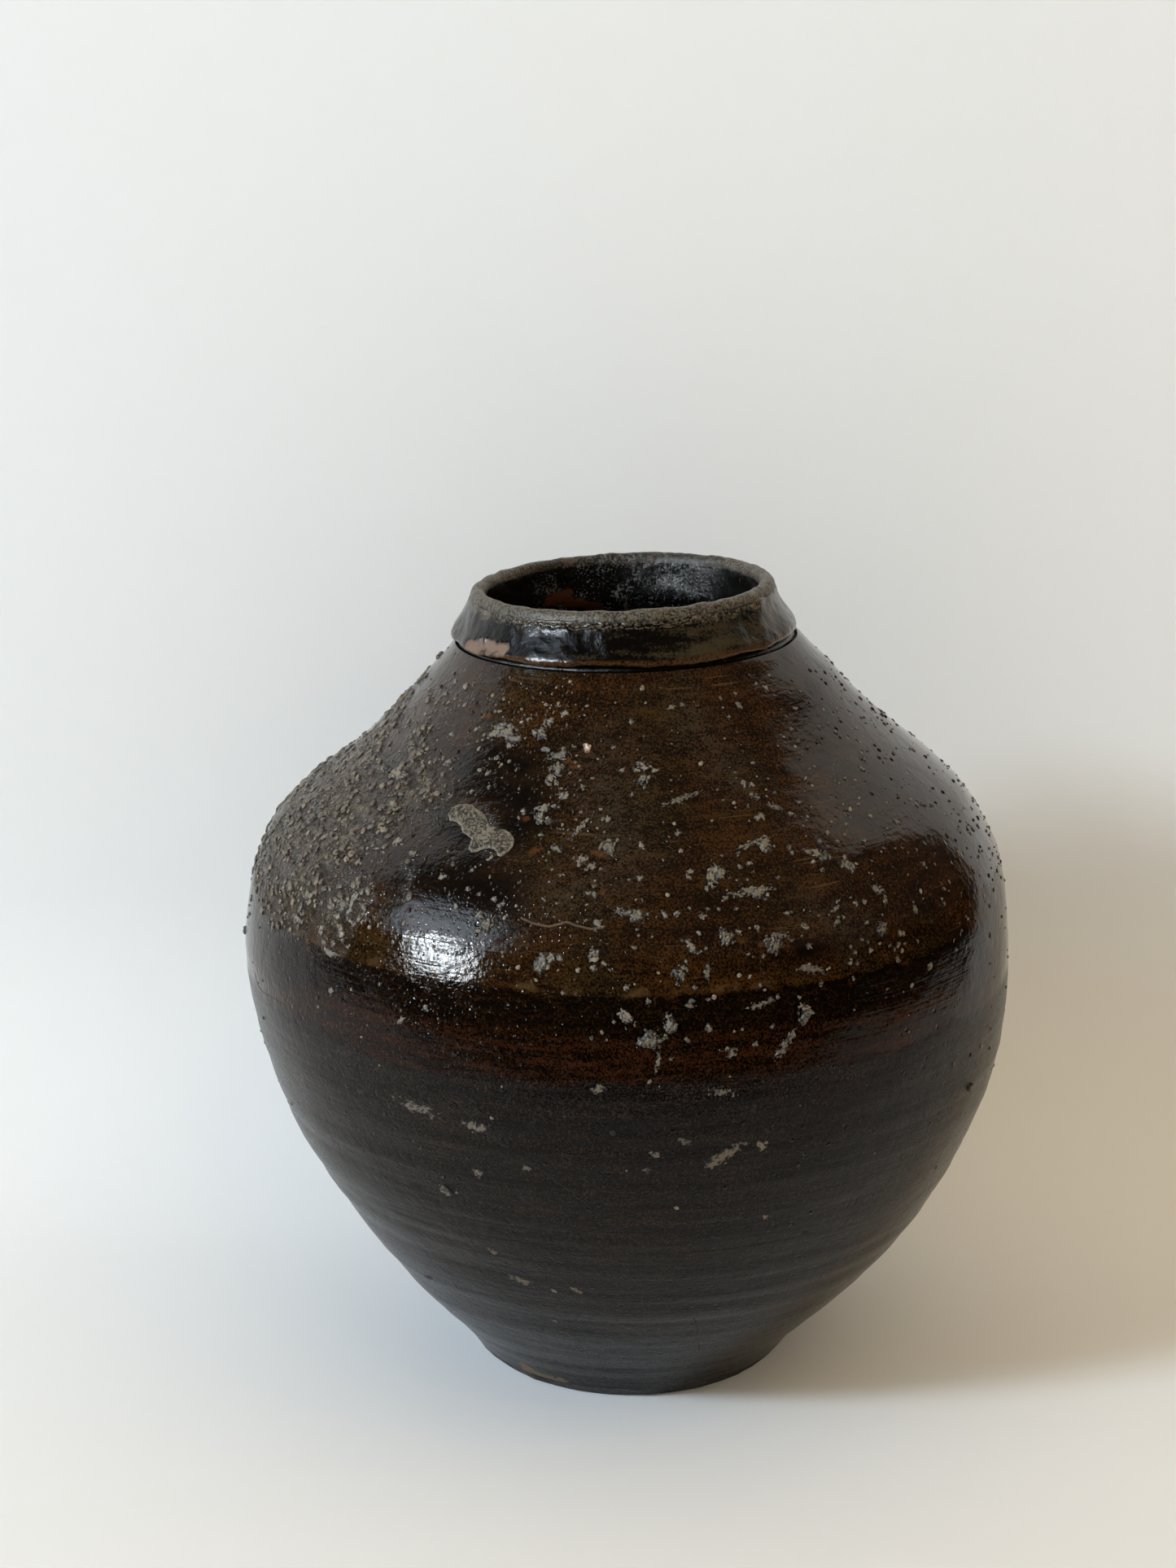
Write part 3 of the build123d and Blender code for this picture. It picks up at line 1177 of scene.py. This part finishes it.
# Centre and half width of each lump of the frame's grit node
def frameLumps():
    bits = bmesh.new()
    bits.from_mesh(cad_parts["kiln_grit"].data)
    bmesh.ops.remove_doubles(bits, verts=bits.verts, dist=0.005 * mm)
    left = set(bits.verts)
    lumps = []
    while left:
        start = min(left, key=lambda vertex: vertex.index)
        island = {start}
        front = [start]
        while front:
            vertex = front.pop()
            for edge in vertex.link_edges:
                other = edge.other_vert(vertex)
                if other not in island:
                    island.add(other)
                    front.append(other)
        left -= island
        island = sorted(island, key=lambda vertex: vertex.index)
        middle = sum((vertex.co for vertex in island), Vector()) / len(island)
        reach = max((vertex.co - middle).length for vertex in island)
        lumps.append((middle, reach))
    bits.free()
    return lumps


def anyAlong(normal, chance):
    angle = chance.uniform(0, 2 * math.pi)
    side = normal.cross(Vector((0, 0, 1))).normalized()
    return side * math.cos(angle) + normal.cross(side) * math.sin(angle)


# Dry ash patch on the left of the shoulder, its outline as seen in the photograph
ash = {
    "outline": (
        (551, 1001), (556, 994), (563, 990), (572, 989), (580, 990), (585, 995), (592, 999),
        (597, 1005), (600, 1013), (603, 1019), (610, 1021), (619, 1020), (626, 1024), (631, 1031),
        (630, 1040), (625, 1046), (620, 1050), (615, 1053), (611, 1049), (608, 1044), (601, 1042),
        (593, 1044), (586, 1047), (579, 1048), (576, 1043), (579, 1037), (580, 1031), (575, 1027),
        (569, 1023), (567, 1015), (561, 1010), (554, 1009),
    ),
    "middle": (592, 1025),
    "clear": 10.5,   # mm round the middle that other grit keeps off
    "thickness": 0.5,
    "sheet": 0.35,
    "grooveDepth": 0.22,
    "dry": (0.215, 0.176, 0.120),
    "shade": (0.022, 0.017, 0.011),
    "rim": (0.250, 0.210, 0.150),
}
ashMiddle = seenAt(*ash["middle"])[0]


def clearOfAsh(place):
    return (place - ashMiddle).length / mm > ash["clear"]


def makeLumps():
    chance = random.Random(grit["seed"])
    laid = []
    for middle, reach in frameLumps():
        place, normal = glazeTree.find_nearest(settled(middle))[:2]
        sizes = (reach * chance.uniform(1.9, 2.3), reach * chance.uniform(1.3, 1.8))
        tint = chance.uniform(0.1, 0.6)
        along = anyAlong(normal, chance)
        thick = grit["lumpHigh"] * mm
        laid.append((place, normal, along, sizes, thick, grit["lumpRagged"], grit["lumpSteps"], tint))
    return layPatches("gritLumps", laid)


lumpGrit = gritMaterial("greyGrit", grit["dark"], grit["grey"], grit["pale"], grit["gloss"])
finishPiece(makeLumps(), lumpGrit, "kiln_grit", "kiln_grit", angle=50)


def turnsApart(turn, other):
    return abs((turn - other + 180) % 360 - 180)


# How thick the loose grit lies at a turn and height
def looseShare(turn, height):
    onShoulder = ease(height, 183, 196) * (1 - ease(height, 250, 274) * 0.6)
    right, left = [turnsApart(turn, thick) for thick in grit["thickTurns"]]
    right = 1 - ease(right, 15, 55)
    left = 1 - ease(left, 15, 45)
    below = 0.07 * ease(height, 60, 150) * (1 - ease(height, 181, 186))
    return min(1, onShoulder * (0.30 + 0.35 * right + 0.55 * left) + below)


def scatterGrains():
    chance = random.Random(grit["seed"] + 1)
    shapes = [roughStone(f"grain{index}", 2, 0.30, 0.10, index + 9) for index in range(grit["shapes"])]
    bare = []
    covered = []
    crusted = []
    while len(crusted) < grit["crustGrains"] or len(bare) + len(covered) < grit["looseGrains"]:
        turn = chance.uniform(0, 360)
        height = chance.uniform(*grit["heights"])
        size = chance.random() ** 1.9
        place, normal = glazeAt(turn, height)
        share = crustAt(place) if height > 150 else 0
        stone = chance.choice(shapes)
        wide = chance.uniform(0.75, 1.25)
        tint = chance.random()
        along = anyAlong(normal, chance)
        if not clearOfAsh(place):
            continue
        if chance.random() < share ** 1.5:
            if len(crusted) < grit["crustGrains"]:
                size = grit["crustSmallest"] + (grit["crustLargest"] - grit["crustSmallest"]) * size
                sizes = (size * wide * mm, size / wide * mm, size * 0.52 * mm)
                matrix = laidOn(place, normal, along, sizes, grit["crustSunk"] * mm)
                crusted.append((stone, matrix, tint ** 2))
            continue
        clump = wave(place, 16)
        if chance.random() > looseShare(turn, height) * (0.6 + 1.1 * clump):
            continue
        if len(bare) + len(covered) < grit["looseGrains"]:
            size = grit["smallest"] + (grit["largest"] - grit["smallest"]) * size
            sizes = (size * wide * mm, size / wide * mm, size * 0.6 * mm)
            matrix = laidOn(place, normal, along, sizes, grit["sunk"] * mm)
            target = bare if chance.random() < grit["bareShare"] else covered
            target.append((stone, matrix, tint))
    pieces = layStones("bareGrit", bare), layStones("glazedGrit", covered), layStones("crustGrit", crusted)
    for shape in shapes:
        bpy.data.objects.remove(shape)
    return pieces


bareGrit, glazedGrit, crustGrit = scatterGrains()
finishPiece(bareGrit, lumpGrit, "kiln_grit", angle=60)
finishPiece(glazedGrit, shoulderMaterial, "outer_glaze", angle=60)
crustMaterial = gritMaterial("brownCrustGrit", grit["dark"], grit["brown"], grit["tan"], grit["crustGloss"])
finishPiece(crustGrit, crustMaterial, "kiln_grit", angle=60)


# Flakes of fused grit: two ends as seen in the photograph, and a width in mm
flakes = {
    "seenFromTo": (
        (817, 989, 861, 973, 2.0), (702, 1030, 726, 1004, 2.0), (906, 1045, 946, 1028, 2.6),
        (944, 988, 960, 995, 2.4), (966, 998, 978, 1004, 2.0), (990, 1047, 1016, 1051, 2.8),
        (873, 1090, 880, 1062, 3.4), (898, 1098, 948, 1092, 2.8), (1032, 1060, 1046, 1066, 3.4),
        (1070, 1090, 1081, 1094, 3.2), (760, 1120, 798, 1126, 3.2), (728, 1136, 741, 1138, 3.4),
        (884, 1148, 904, 1154, 3.4), (941, 1158, 969, 1152, 3.8), (842, 1156, 858, 1170, 3.6),
        (834, 1206, 841, 1182, 3.0), (868, 1203, 871, 1184, 2.0), (984, 1190, 1010, 1192, 2.8),
        (724, 1174, 736, 1175, 3.4), (764, 1240, 774, 1258, 3.2), (820, 1248, 824, 1268, 3.2),
        (787, 1277, 814, 1275, 5.2), (848, 1230, 850, 1241, 3.0), (892, 1292, 904, 1294, 3.0),
        (806, 1316, 811, 1293, 1.6), (953, 1303, 975, 1268, 3.0), (988, 1240, 998, 1246, 3.2),
        (921, 1238, 945, 1232, 2.0), (793, 1229, 803, 1231, 2.8), (427, 1126, 439, 1094, 3.2),
        (400, 1167, 414, 1175, 2.2), (590, 1138, 608, 1133, 2.8), (664, 1180, 684, 1176, 3.4),
        (658, 998, 675, 992, 4.0), (610, 893, 634, 905, 4.6), (600, 905, 612, 900, 3.2),
        (626, 912, 640, 906, 3.0), (672, 931, 702, 926, 3.2), (784, 942, 799, 939, 3.2),
        (737, 1043, 752, 1037, 4.0), (478, 948, 500, 955, 3.4), (545, 938, 558, 936, 3.2),
        (482, 1038, 495, 1030, 3.2), (708, 1060, 722, 1053, 3.0), (860, 1120, 868, 1128, 2.4),
        (668, 890, 680, 886, 3.0), (672, 962, 682, 952, 2.6), (686, 980, 698, 976, 3.0),
        (714, 966, 720, 970, 2.0), (742, 1008, 752, 1006, 2.4), (776, 945, 786, 947, 1.8),
        (829, 1022, 838, 1024, 2.0), (786, 1036, 790, 1044, 2.0), (918, 1064, 924, 1058, 1.8),
        (1020, 1120, 1030, 1114, 2.4), (722, 1062, 732, 1066, 2.4), (678, 1040, 690, 1046, 2.2),
    ),
    "thickness": 0.40,
    "ragged": 1.0,
    "wider": 1.05,
    "seed": 21,
}

# Chips and scars of the lower body, thin, in the colour of bare clay
scars = {
    "seenFromTo": (
        (491, 1354, 536, 1370, 2.4), (571, 1383, 600, 1388, 2.2), (581, 1439, 593, 1443, 2.0),
        (642, 1433, 652, 1437, 1.4), (729, 1340, 742, 1336, 2.0), (800, 1416, 813, 1422, 1.4),
        (790, 1437, 800, 1439, 1.4), (864, 1438, 909, 1409, 2.8), (832, 1400, 848, 1405, 1.6),
        (600, 1535, 613, 1541, 2.0), (626, 1568, 652, 1577, 2.2), (674, 1583, 684, 1588, 1.6),
        (700, 1583, 716, 1588, 1.8), (871, 1340, 903, 1343, 1.6), (929, 1406, 945, 1411, 1.8),
        (935, 1495, 945, 1497, 1.2), (678, 1622, 687, 1625, 1.2),
    ),
    "thickness": 0.16,
    "ragged": 1.0,
    "wider": 1.7,
    "seed": 47,
    "dark": (0.006, 0.0045, 0.003),
    "grey": (0.055, 0.043, 0.028),
    "pale": (0.210, 0.160, 0.098),
    "gloss": 0.6,
}

# Small open pits of the lower body, drawn as thin dark sheets of painted shade
paintedPitShade = {
    "seenFromTo": (
        (748, 1392, 757, 1394, 2.0), (922, 1364, 930, 1366, 2.2), (938, 1390, 946, 1391, 2.0),
        (957, 1389, 966, 1391, 2.2), (493, 1450, 502, 1453, 2.4), (691, 1372, 697, 1373, 1.6),
        (439, 1341, 448, 1344, 2.6), (986, 1514, 993, 1516, 1.8), (522, 1569, 531, 1571, 2.2),
        (1012, 1432, 1018, 1436, 2.0), (1058, 1372, 1066, 1374, 2.4), (1090, 1330, 1097, 1334, 2.4),
    ),
    "thickness": 0.06,
    "ragged": 0.5,
    "wider": 1,
    "seed": 83,
}


# Grid steps of a flake for each mm of its longer side, and the fewest and most
flakeSteps = {"perMm": 3.4, "fewest": 10, "most": 34}


def makeFlakes(name, table):
    chance = random.Random(table["seed"])
    laid = []
    for fromX, fromY, toX, toY, width in table["seenFromTo"]:
        start = seenAt(fromX, fromY)[0]
        end = seenAt(toX, toY)[0]
        place, normal = seenAt((fromX + toX) / 2, (fromY + toY) / 2)
        sizes = ((end - start).length * 1.08, width * table["wider"] * mm)
        steps = round(max(sizes) / mm * flakeSteps["perMm"])
        steps = max(flakeSteps["fewest"], min(flakeSteps["most"], steps))
        thick = table["thickness"] * mm
        tint = chance.uniform(0.15, 0.75)
        laid.append((place, normal, end - start, sizes, thick, table["ragged"], steps, tint))
    return layPatches(name, laid)


finishPiece(makeFlakes("gritFlakes", flakes), lumpGrit, "kiln_grit", angle=50)
scarClay = gritMaterial("bareClayScars", scars["dark"], scars["grey"], scars["pale"], scars["gloss"])
finishPiece(makeFlakes("clayScars", scars), scarClay, "outer_glaze", angle=60)


# Small scabs of grit between the flakes, thickest at the front
scabs = {
    "count": 520,
    "seed": 31,
    "smallest": 0.5,
    "largest": 1.6,
    "thickness": 0.34,
    "ragged": 0.7,
    "steps": 9,
    "heights": (158, 268),
    "frontTurn": 275,
}


def scatterScabs():
    chance = random.Random(scabs["seed"])
    laid = []
    while len(laid) < scabs["count"]:
        turn = chance.uniform(0, 360)
        height = chance.uniform(*scabs["heights"])
        place, normal = glazeAt(turn, height)
        front = 1 - ease(turnsApart(turn, scabs["frontTurn"]), 40, 75)
        share = (0.28 + 0.72 * front) * ease(height, 158, 190) * (1 - 0.7 * ease(height, 235, 262))
        clump = noise.noise(place / (20 * mm) + Vector((5, 0, 0)))
        size = scabs["smallest"] + (scabs["largest"] - scabs["smallest"]) * chance.random() ** 2
        wide = chance.uniform(0.7, 1.2)
        along = anyAlong(normal, chance)
        tint = chance.uniform(0.1, 0.8)
        if chance.random() > share * (0.6 + 1.2 * clump) or not clearOfAsh(place):
            continue
        sizes = (size * wide * 2 * mm, size / wide * 1.6 * mm)
        thick = scabs["thickness"] * mm
        laid.append((place, normal, along, sizes, thick, scabs["ragged"], scabs["steps"], tint))
    return layPatches("gritScabs", laid)


finishPiece(scatterScabs(), lumpGrit, "kiln_grit", angle=60)


def makeAsh():
    freshStart()
    bpy.ops.mesh.primitive_circle_add(vertices=len(ash["outline"]), radius=1, fill_type="NGON")
    sheet = bpy.context.object
    sheet.name = "ashPatch"
    for vertex, (x, y) in zip(sheet.data.vertices, ash["outline"]):
        vertex.co = seenAt(x, y)[0]
    editAll(sheet)
    bpy.ops.mesh.quads_convert_to_tris(ngon_method="BEAUTY")
    bpy.ops.mesh.subdivide(number_cuts=11, smoothness=0)
    leaveEdit()
    edges = bmesh.new()
    edges.from_mesh(sheet.data)
    rim = [vertex.co.copy() for vertex in edges.verts if vertex.is_boundary]
    edges.free()
    rims = []
    grooves = []
    for vertex in sheet.data.vertices:
        inward = min((vertex.co - point).length for point in rim) / mm
        place, normal = glazeTree.find_nearest(vertex.co)[:2]
        ragged = wave(place, 1.5) * 0.7 + wave(place, 0.7) * 0.5
        inward += wave(place, 1.1) * 0.5
        rise = ash["thickness"] * ease(inward, 0.05, 0.6) * (1 + ragged * ease(inward, 0.5, 1.4)) - 0.08
        groove = ease(inward, 0.55, 0.85) * (1 - ease(inward, 1.0, 1.35))
        rims.append(1 - ease(inward, 0.45, 0.8))
        grooves.append(groove)
        vertex.co = place + normal * (rise - groove * ash["grooveDepth"]) * mm
    storeField(sheet, "rim", rims)
    storeField(sheet, "groove", grooves)
    applyModifier(sheet, "SOLIDIFY", thickness=ash["sheet"] * mm, offset=-1)
    return sheet


def ashMaterial():
    material = newMaterial("dryAsh")
    grain = noiseField(0.75, detail=4, rough=0.75)
    holes = between(noiseField(1.3, detail=2), 0.38, 0.50)
    colour = blendColour(times(between(grain, 0.44, 0.56), holes), ash["shade"], ash["dry"])
    rim = paintedField("rim")
    colour = blendColour(times(rim, 0.6), colour, ash["rim"])
    colour = blendColour(times(paintedField("groove"), 0.75), colour, ash["shade"])
    setShader(colour, between(rim, 0, 1, 0.85, 0.4), weigh((grain, 0.45), (holes, 0.45)))
    return material


finishPiece(makeAsh(), ashMaterial(), "kiln_grit", angle=60)


# Lines on the glaze: the raised thread, paler for a painted highlight, and hairline cracks drawn as dark
# tubes of painted shadow
lines = {
    "glazeThread": (
        (640, 1128), (655, 1135), (676, 1139), (697, 1133), (706, 1137), (727, 1142), (740, 1140),
    ),
    "threadWidth": 0.90,
    "threadSunk": 0.02,
    "longCrack": (
        (558, 1351), (590, 1384), (632, 1419), (665, 1438), (697, 1461), (740, 1496),
        (777, 1522), (806, 1540), (832, 1554), (842, 1593), (856, 1628), (859, 1660),
    ),
    "leftCrack": ((313, 1196), (316, 1209), (323, 1219), (336, 1226), (350, 1235)),
    "crackWidth": 0.42,
    "crackSunk": 0.126,
    "dark": (0.004, 0.0035, 0.003),
}


def makeLine(name, width, sunk):
    points = [seenAt(x, y)[0] for x, y in lines[name]]
    curve = bpy.data.curves.new(name, "CURVE")
    curve.dimensions = "3D"
    curve.bevel_depth = width / 2 * mm
    curve.bevel_resolution = 2
    curve.resolution_u = 6
    curve.use_fill_caps = True
    spline = curve.splines.new("NURBS")
    spline.points.add(len(points) * 3 - 3)
    for index, point in enumerate(spline.points):
        step, part = divmod(index, 3)
        following = points[min(step + 1, len(points) - 1)]
        place = points[step].lerp(following, part / 3)
        place, normal = glazeTree.find_nearest(place)[:2]
        waver = wave(place, 2) * 0.4 * mm
        point.co = (*(place - normal * sunk * mm + normal.cross(Vector((0, 0, 1))) * waver), 1)
    spline.order_u = 3
    spline.use_endpoint_u = True
    holder = bpy.data.objects.new(name, curve)
    bpy.context.scene.collection.objects.link(holder)
    activate(holder)
    bpy.ops.object.convert(target="MESH")
    return bpy.context.object


# Near-black painted shadow for the cracks and the pits
def crackMaterial():
    material = newMaterial("crackShadow")
    grain = noiseField(1.5, detail=3)
    setShader(blendColour(grain, lines["dark"], glaze["deep"]), 0.8)
    return material


# The thread is coloured honey and amber, paler than the glaze round it; the paler colour stands in for the
# highlights along its top, so it is partly its own brown and partly a painted highlight
threadPaintedHighlight = clayMaterial("threadPaintedHighlight", glaze["honey"], glaze["amber"])
thread = makeLine("glazeThread", lines["threadWidth"], lines["threadSunk"])
finishPiece(thread, threadPaintedHighlight, "outer_glaze", angle=60)
paintedShadowDark = crackMaterial()
for name in ("longCrack", "leftCrack"):
    crack = makeLine(name, lines["crackWidth"], lines["crackSunk"])
    finishPiece(crack, paintedShadowDark, "outer_glaze", angle=60)
# Dark sheets of painted shade where the pits are
finishPiece(makeFlakes("paintedPitShadows", paintedPitShade), paintedShadowDark, "outer_glaze", angle=60)

# One pale chip of grit high on the shoulder
paleChip = {
    "seenFromTo": ((721, 913, 722, 925, 2.6),),
    "thickness": 0.8,
    "ragged": 0.5,
    "wider": 1,
    "seed": 95,
    "dark": (0.20, 0.13, 0.09),
    "grey": (0.62, 0.46, 0.36),
    "pale": (0.80, 0.66, 0.55),
    "gloss": 0.5,
}
paleGrit = gritMaterial("paleGrit", paleChip["dark"], paleChip["grey"], paleChip["pale"], paleChip["gloss"])
finishPiece(makeFlakes("paleFlake", paleChip), paleGrit, "kiln_grit", angle=50)


# Studio: a sheet of pale paper that curves up behind, dim room beyond, window on the left
studio = {
    "paper": (0.835, 0.835, 0.825),
    "edgeHeights": (0, 0.035, 0.09, 0.19, 0.35, 0.45, 0.54, 0.73, 0.90, 1.3),
    "edgePlaces": (0.74, 0.62, 0.545, 0.475, 0.455, 0.450, 0.475, 0.60, 0.76, 1.0),
    "paperLeft": -1.3,
    "paperFront": -0.385,
    "paperBack": 0.185,
    "paperTop": 1.3,
    "curve": 0.12,
    "roomLow": (0.014, 0.012, 0.010),
    "roomHigh": (0.070, 0.064, 0.056),
    "lampAim": 0.18,
    "floorRadius": 3.2,
    "floorRim": 1.5,
}

# Lamps: turn and rise in degrees, distance, width and height in metres, glow, light, and what they show in
coolLight = (0.70, 0.825, 0.96)
glintLight = (0.86, 0.94, 1.0)
warmLight = (1.0, 0.76, 0.44)
lamps = {
    "window": (208, 31, 4.0, 2.1, 1.3, 4.9, coolLight, "both"),
    "windowCore": (213, 30.5, 3.95, 0.58, 0.58, 96, coolLight, "diffuse"),
    "windowGlint": (214, 15, 2.6, 0.42, 0.40, 175, glintLight, "glossy"),
    "ceilingFill": (0, 90, 2.2, 2.4, 2.4, 0.88, warmLight, "diffuse"),
    "frontFill": (298, 42, 2.2, 1.6, 1.6, 1.05, warmLight, "diffuse"),
    "rightFill": (350, 40, 2.2, 1.6, 1.6, 0.9, warmLight, "diffuse"),
    "leftFill": (175, 45, 2.2, 1.6, 1.6, 0.20, warmLight, "diffuse"),
}


def paperMaterial(seeThrough):
    material = newMaterial("palePaperBack" if seeThrough else "palePaper")
    setShader((*studio["paper"], 1), 0.9)
    shader = nodeTree.nodes["Principled BSDF"]
    shader.inputs["Specular IOR Level"].default_value = 0.1
    if seeThrough:
        back = addNode("NewGeometry").outputs["Backfacing"]
        clear = addNode("BsdfTransparent")
        mix = addNode("MixShader", {0: back, 1: shader.outputs[0], 2: clear.outputs[0]})
        feed(nodeTree.nodes["Material Output"].inputs["Surface"], mix.outputs[0])
    return material


def makePaper():
    radius = studio["curve"]
    start = studio["paperBack"] - radius
    rows = [(studio["paperFront"], 0), (start, 0)]
    for step in range(1, 17):
        angle = math.radians(90 * step / 16)
        rows.append((start + radius * math.sin(angle), radius - radius * math.cos(angle)))
    upright = studio["paperTop"] - radius
    rows += [(studio["paperBack"], radius + upright * step / 12) for step in range(1, 13)]
    freshStart()
    bpy.ops.mesh.primitive_plane_add(size=1)
    paper = bpy.context.object
    paper.name = "paperSheet"
    mesh = bmesh.new()
    edges = []
    for y, z in rows:
        edge = through(studio["edgeHeights"], studio["edgePlaces"], z)
        edges.append([mesh.verts.new((x, y, z)) for x in (studio["paperLeft"], edge)])
    for near, far in zip(edges, edges[1:]):
        mesh.faces.new((near[0], near[1], far[1], far[0]))
    mesh.to_mesh(paper.data)
    mesh.free()
    activate(paper)
    bpy.ops.object.shade_smooth()
    paper.data.materials.append(paperMaterial(True))
    return paper


def makeFloor():
    freshStart()
    bpy.ops.mesh.primitive_circle_add(vertices=96, radius=studio["floorRadius"], location=(0, 0, -0.4 * mm),
                                      fill_type="NGON")
    floor = bpy.context.object
    floor.name = "outerFloor"
    bpy.ops.object.transform_apply(location=True)
    editAll(floor)
    bpy.ops.mesh.select_mode(type="FACE")
    bpy.ops.mesh.select_all(action="SELECT")
    bpy.ops.mesh.extrude_region_move(TRANSFORM_OT_translate={"value": (0, 0, studio["floorRim"])})
    bpy.ops.mesh.delete(type="ONLY_FACE")
    leaveEdit()
    floor.data.materials.append(paperMaterial(False))
    floor.visible_glossy = False
    return floor


def addLamp(name, turn, rise, distance, wide, high, glow, tint, shownIn):
    data = bpy.data.lights.new(name, "AREA")
    data.shape = "RECTANGLE"
    data.size = wide
    data.size_y = high
    data.energy = glow * math.pi * wide * high
    data.color = tint
    lamp = bpy.data.objects.new(name, data)
    flat = math.cos(math.radians(rise)) * distance
    aim = Vector((0, 0, studio["lampAim"]))
    lamp.location = aim + Vector((
        flat * math.cos(math.radians(turn)),
        flat * math.sin(math.radians(turn)),
        distance * math.sin(math.radians(rise)),
    ))
    lamp.rotation_mode = "QUATERNION"
    lamp.rotation_quaternion = (aim - lamp.location).to_track_quat("-Z", "Y")
    lamp.visible_camera = False
    lamp.visible_glossy = shownIn != "diffuse"
    lamp.visible_diffuse = shownIn != "glossy"
    bpy.context.scene.collection.objects.link(lamp)


def makeRoom():
    world = startNodes(bpy.data.worlds.new("dimRoom"))
    towards = addNode("TexCoord").outputs["Generated"]
    up = addNode("SeparateXYZ", {"Vector": towards}).outputs["Z"]
    light = blendColour(between(up, 0.05, 0.45), studio["roomLow"], studio["roomHigh"])
    feed(nodeTree.nodes["Background"].inputs["Color"], light)
    bpy.context.scene.world = world


paperSheet = makePaper()
outerFloor = makeFloor()
makeRoom()
for name, values in lamps.items():
    addLamp(name, *values)
print("studio ready")

freshStart()
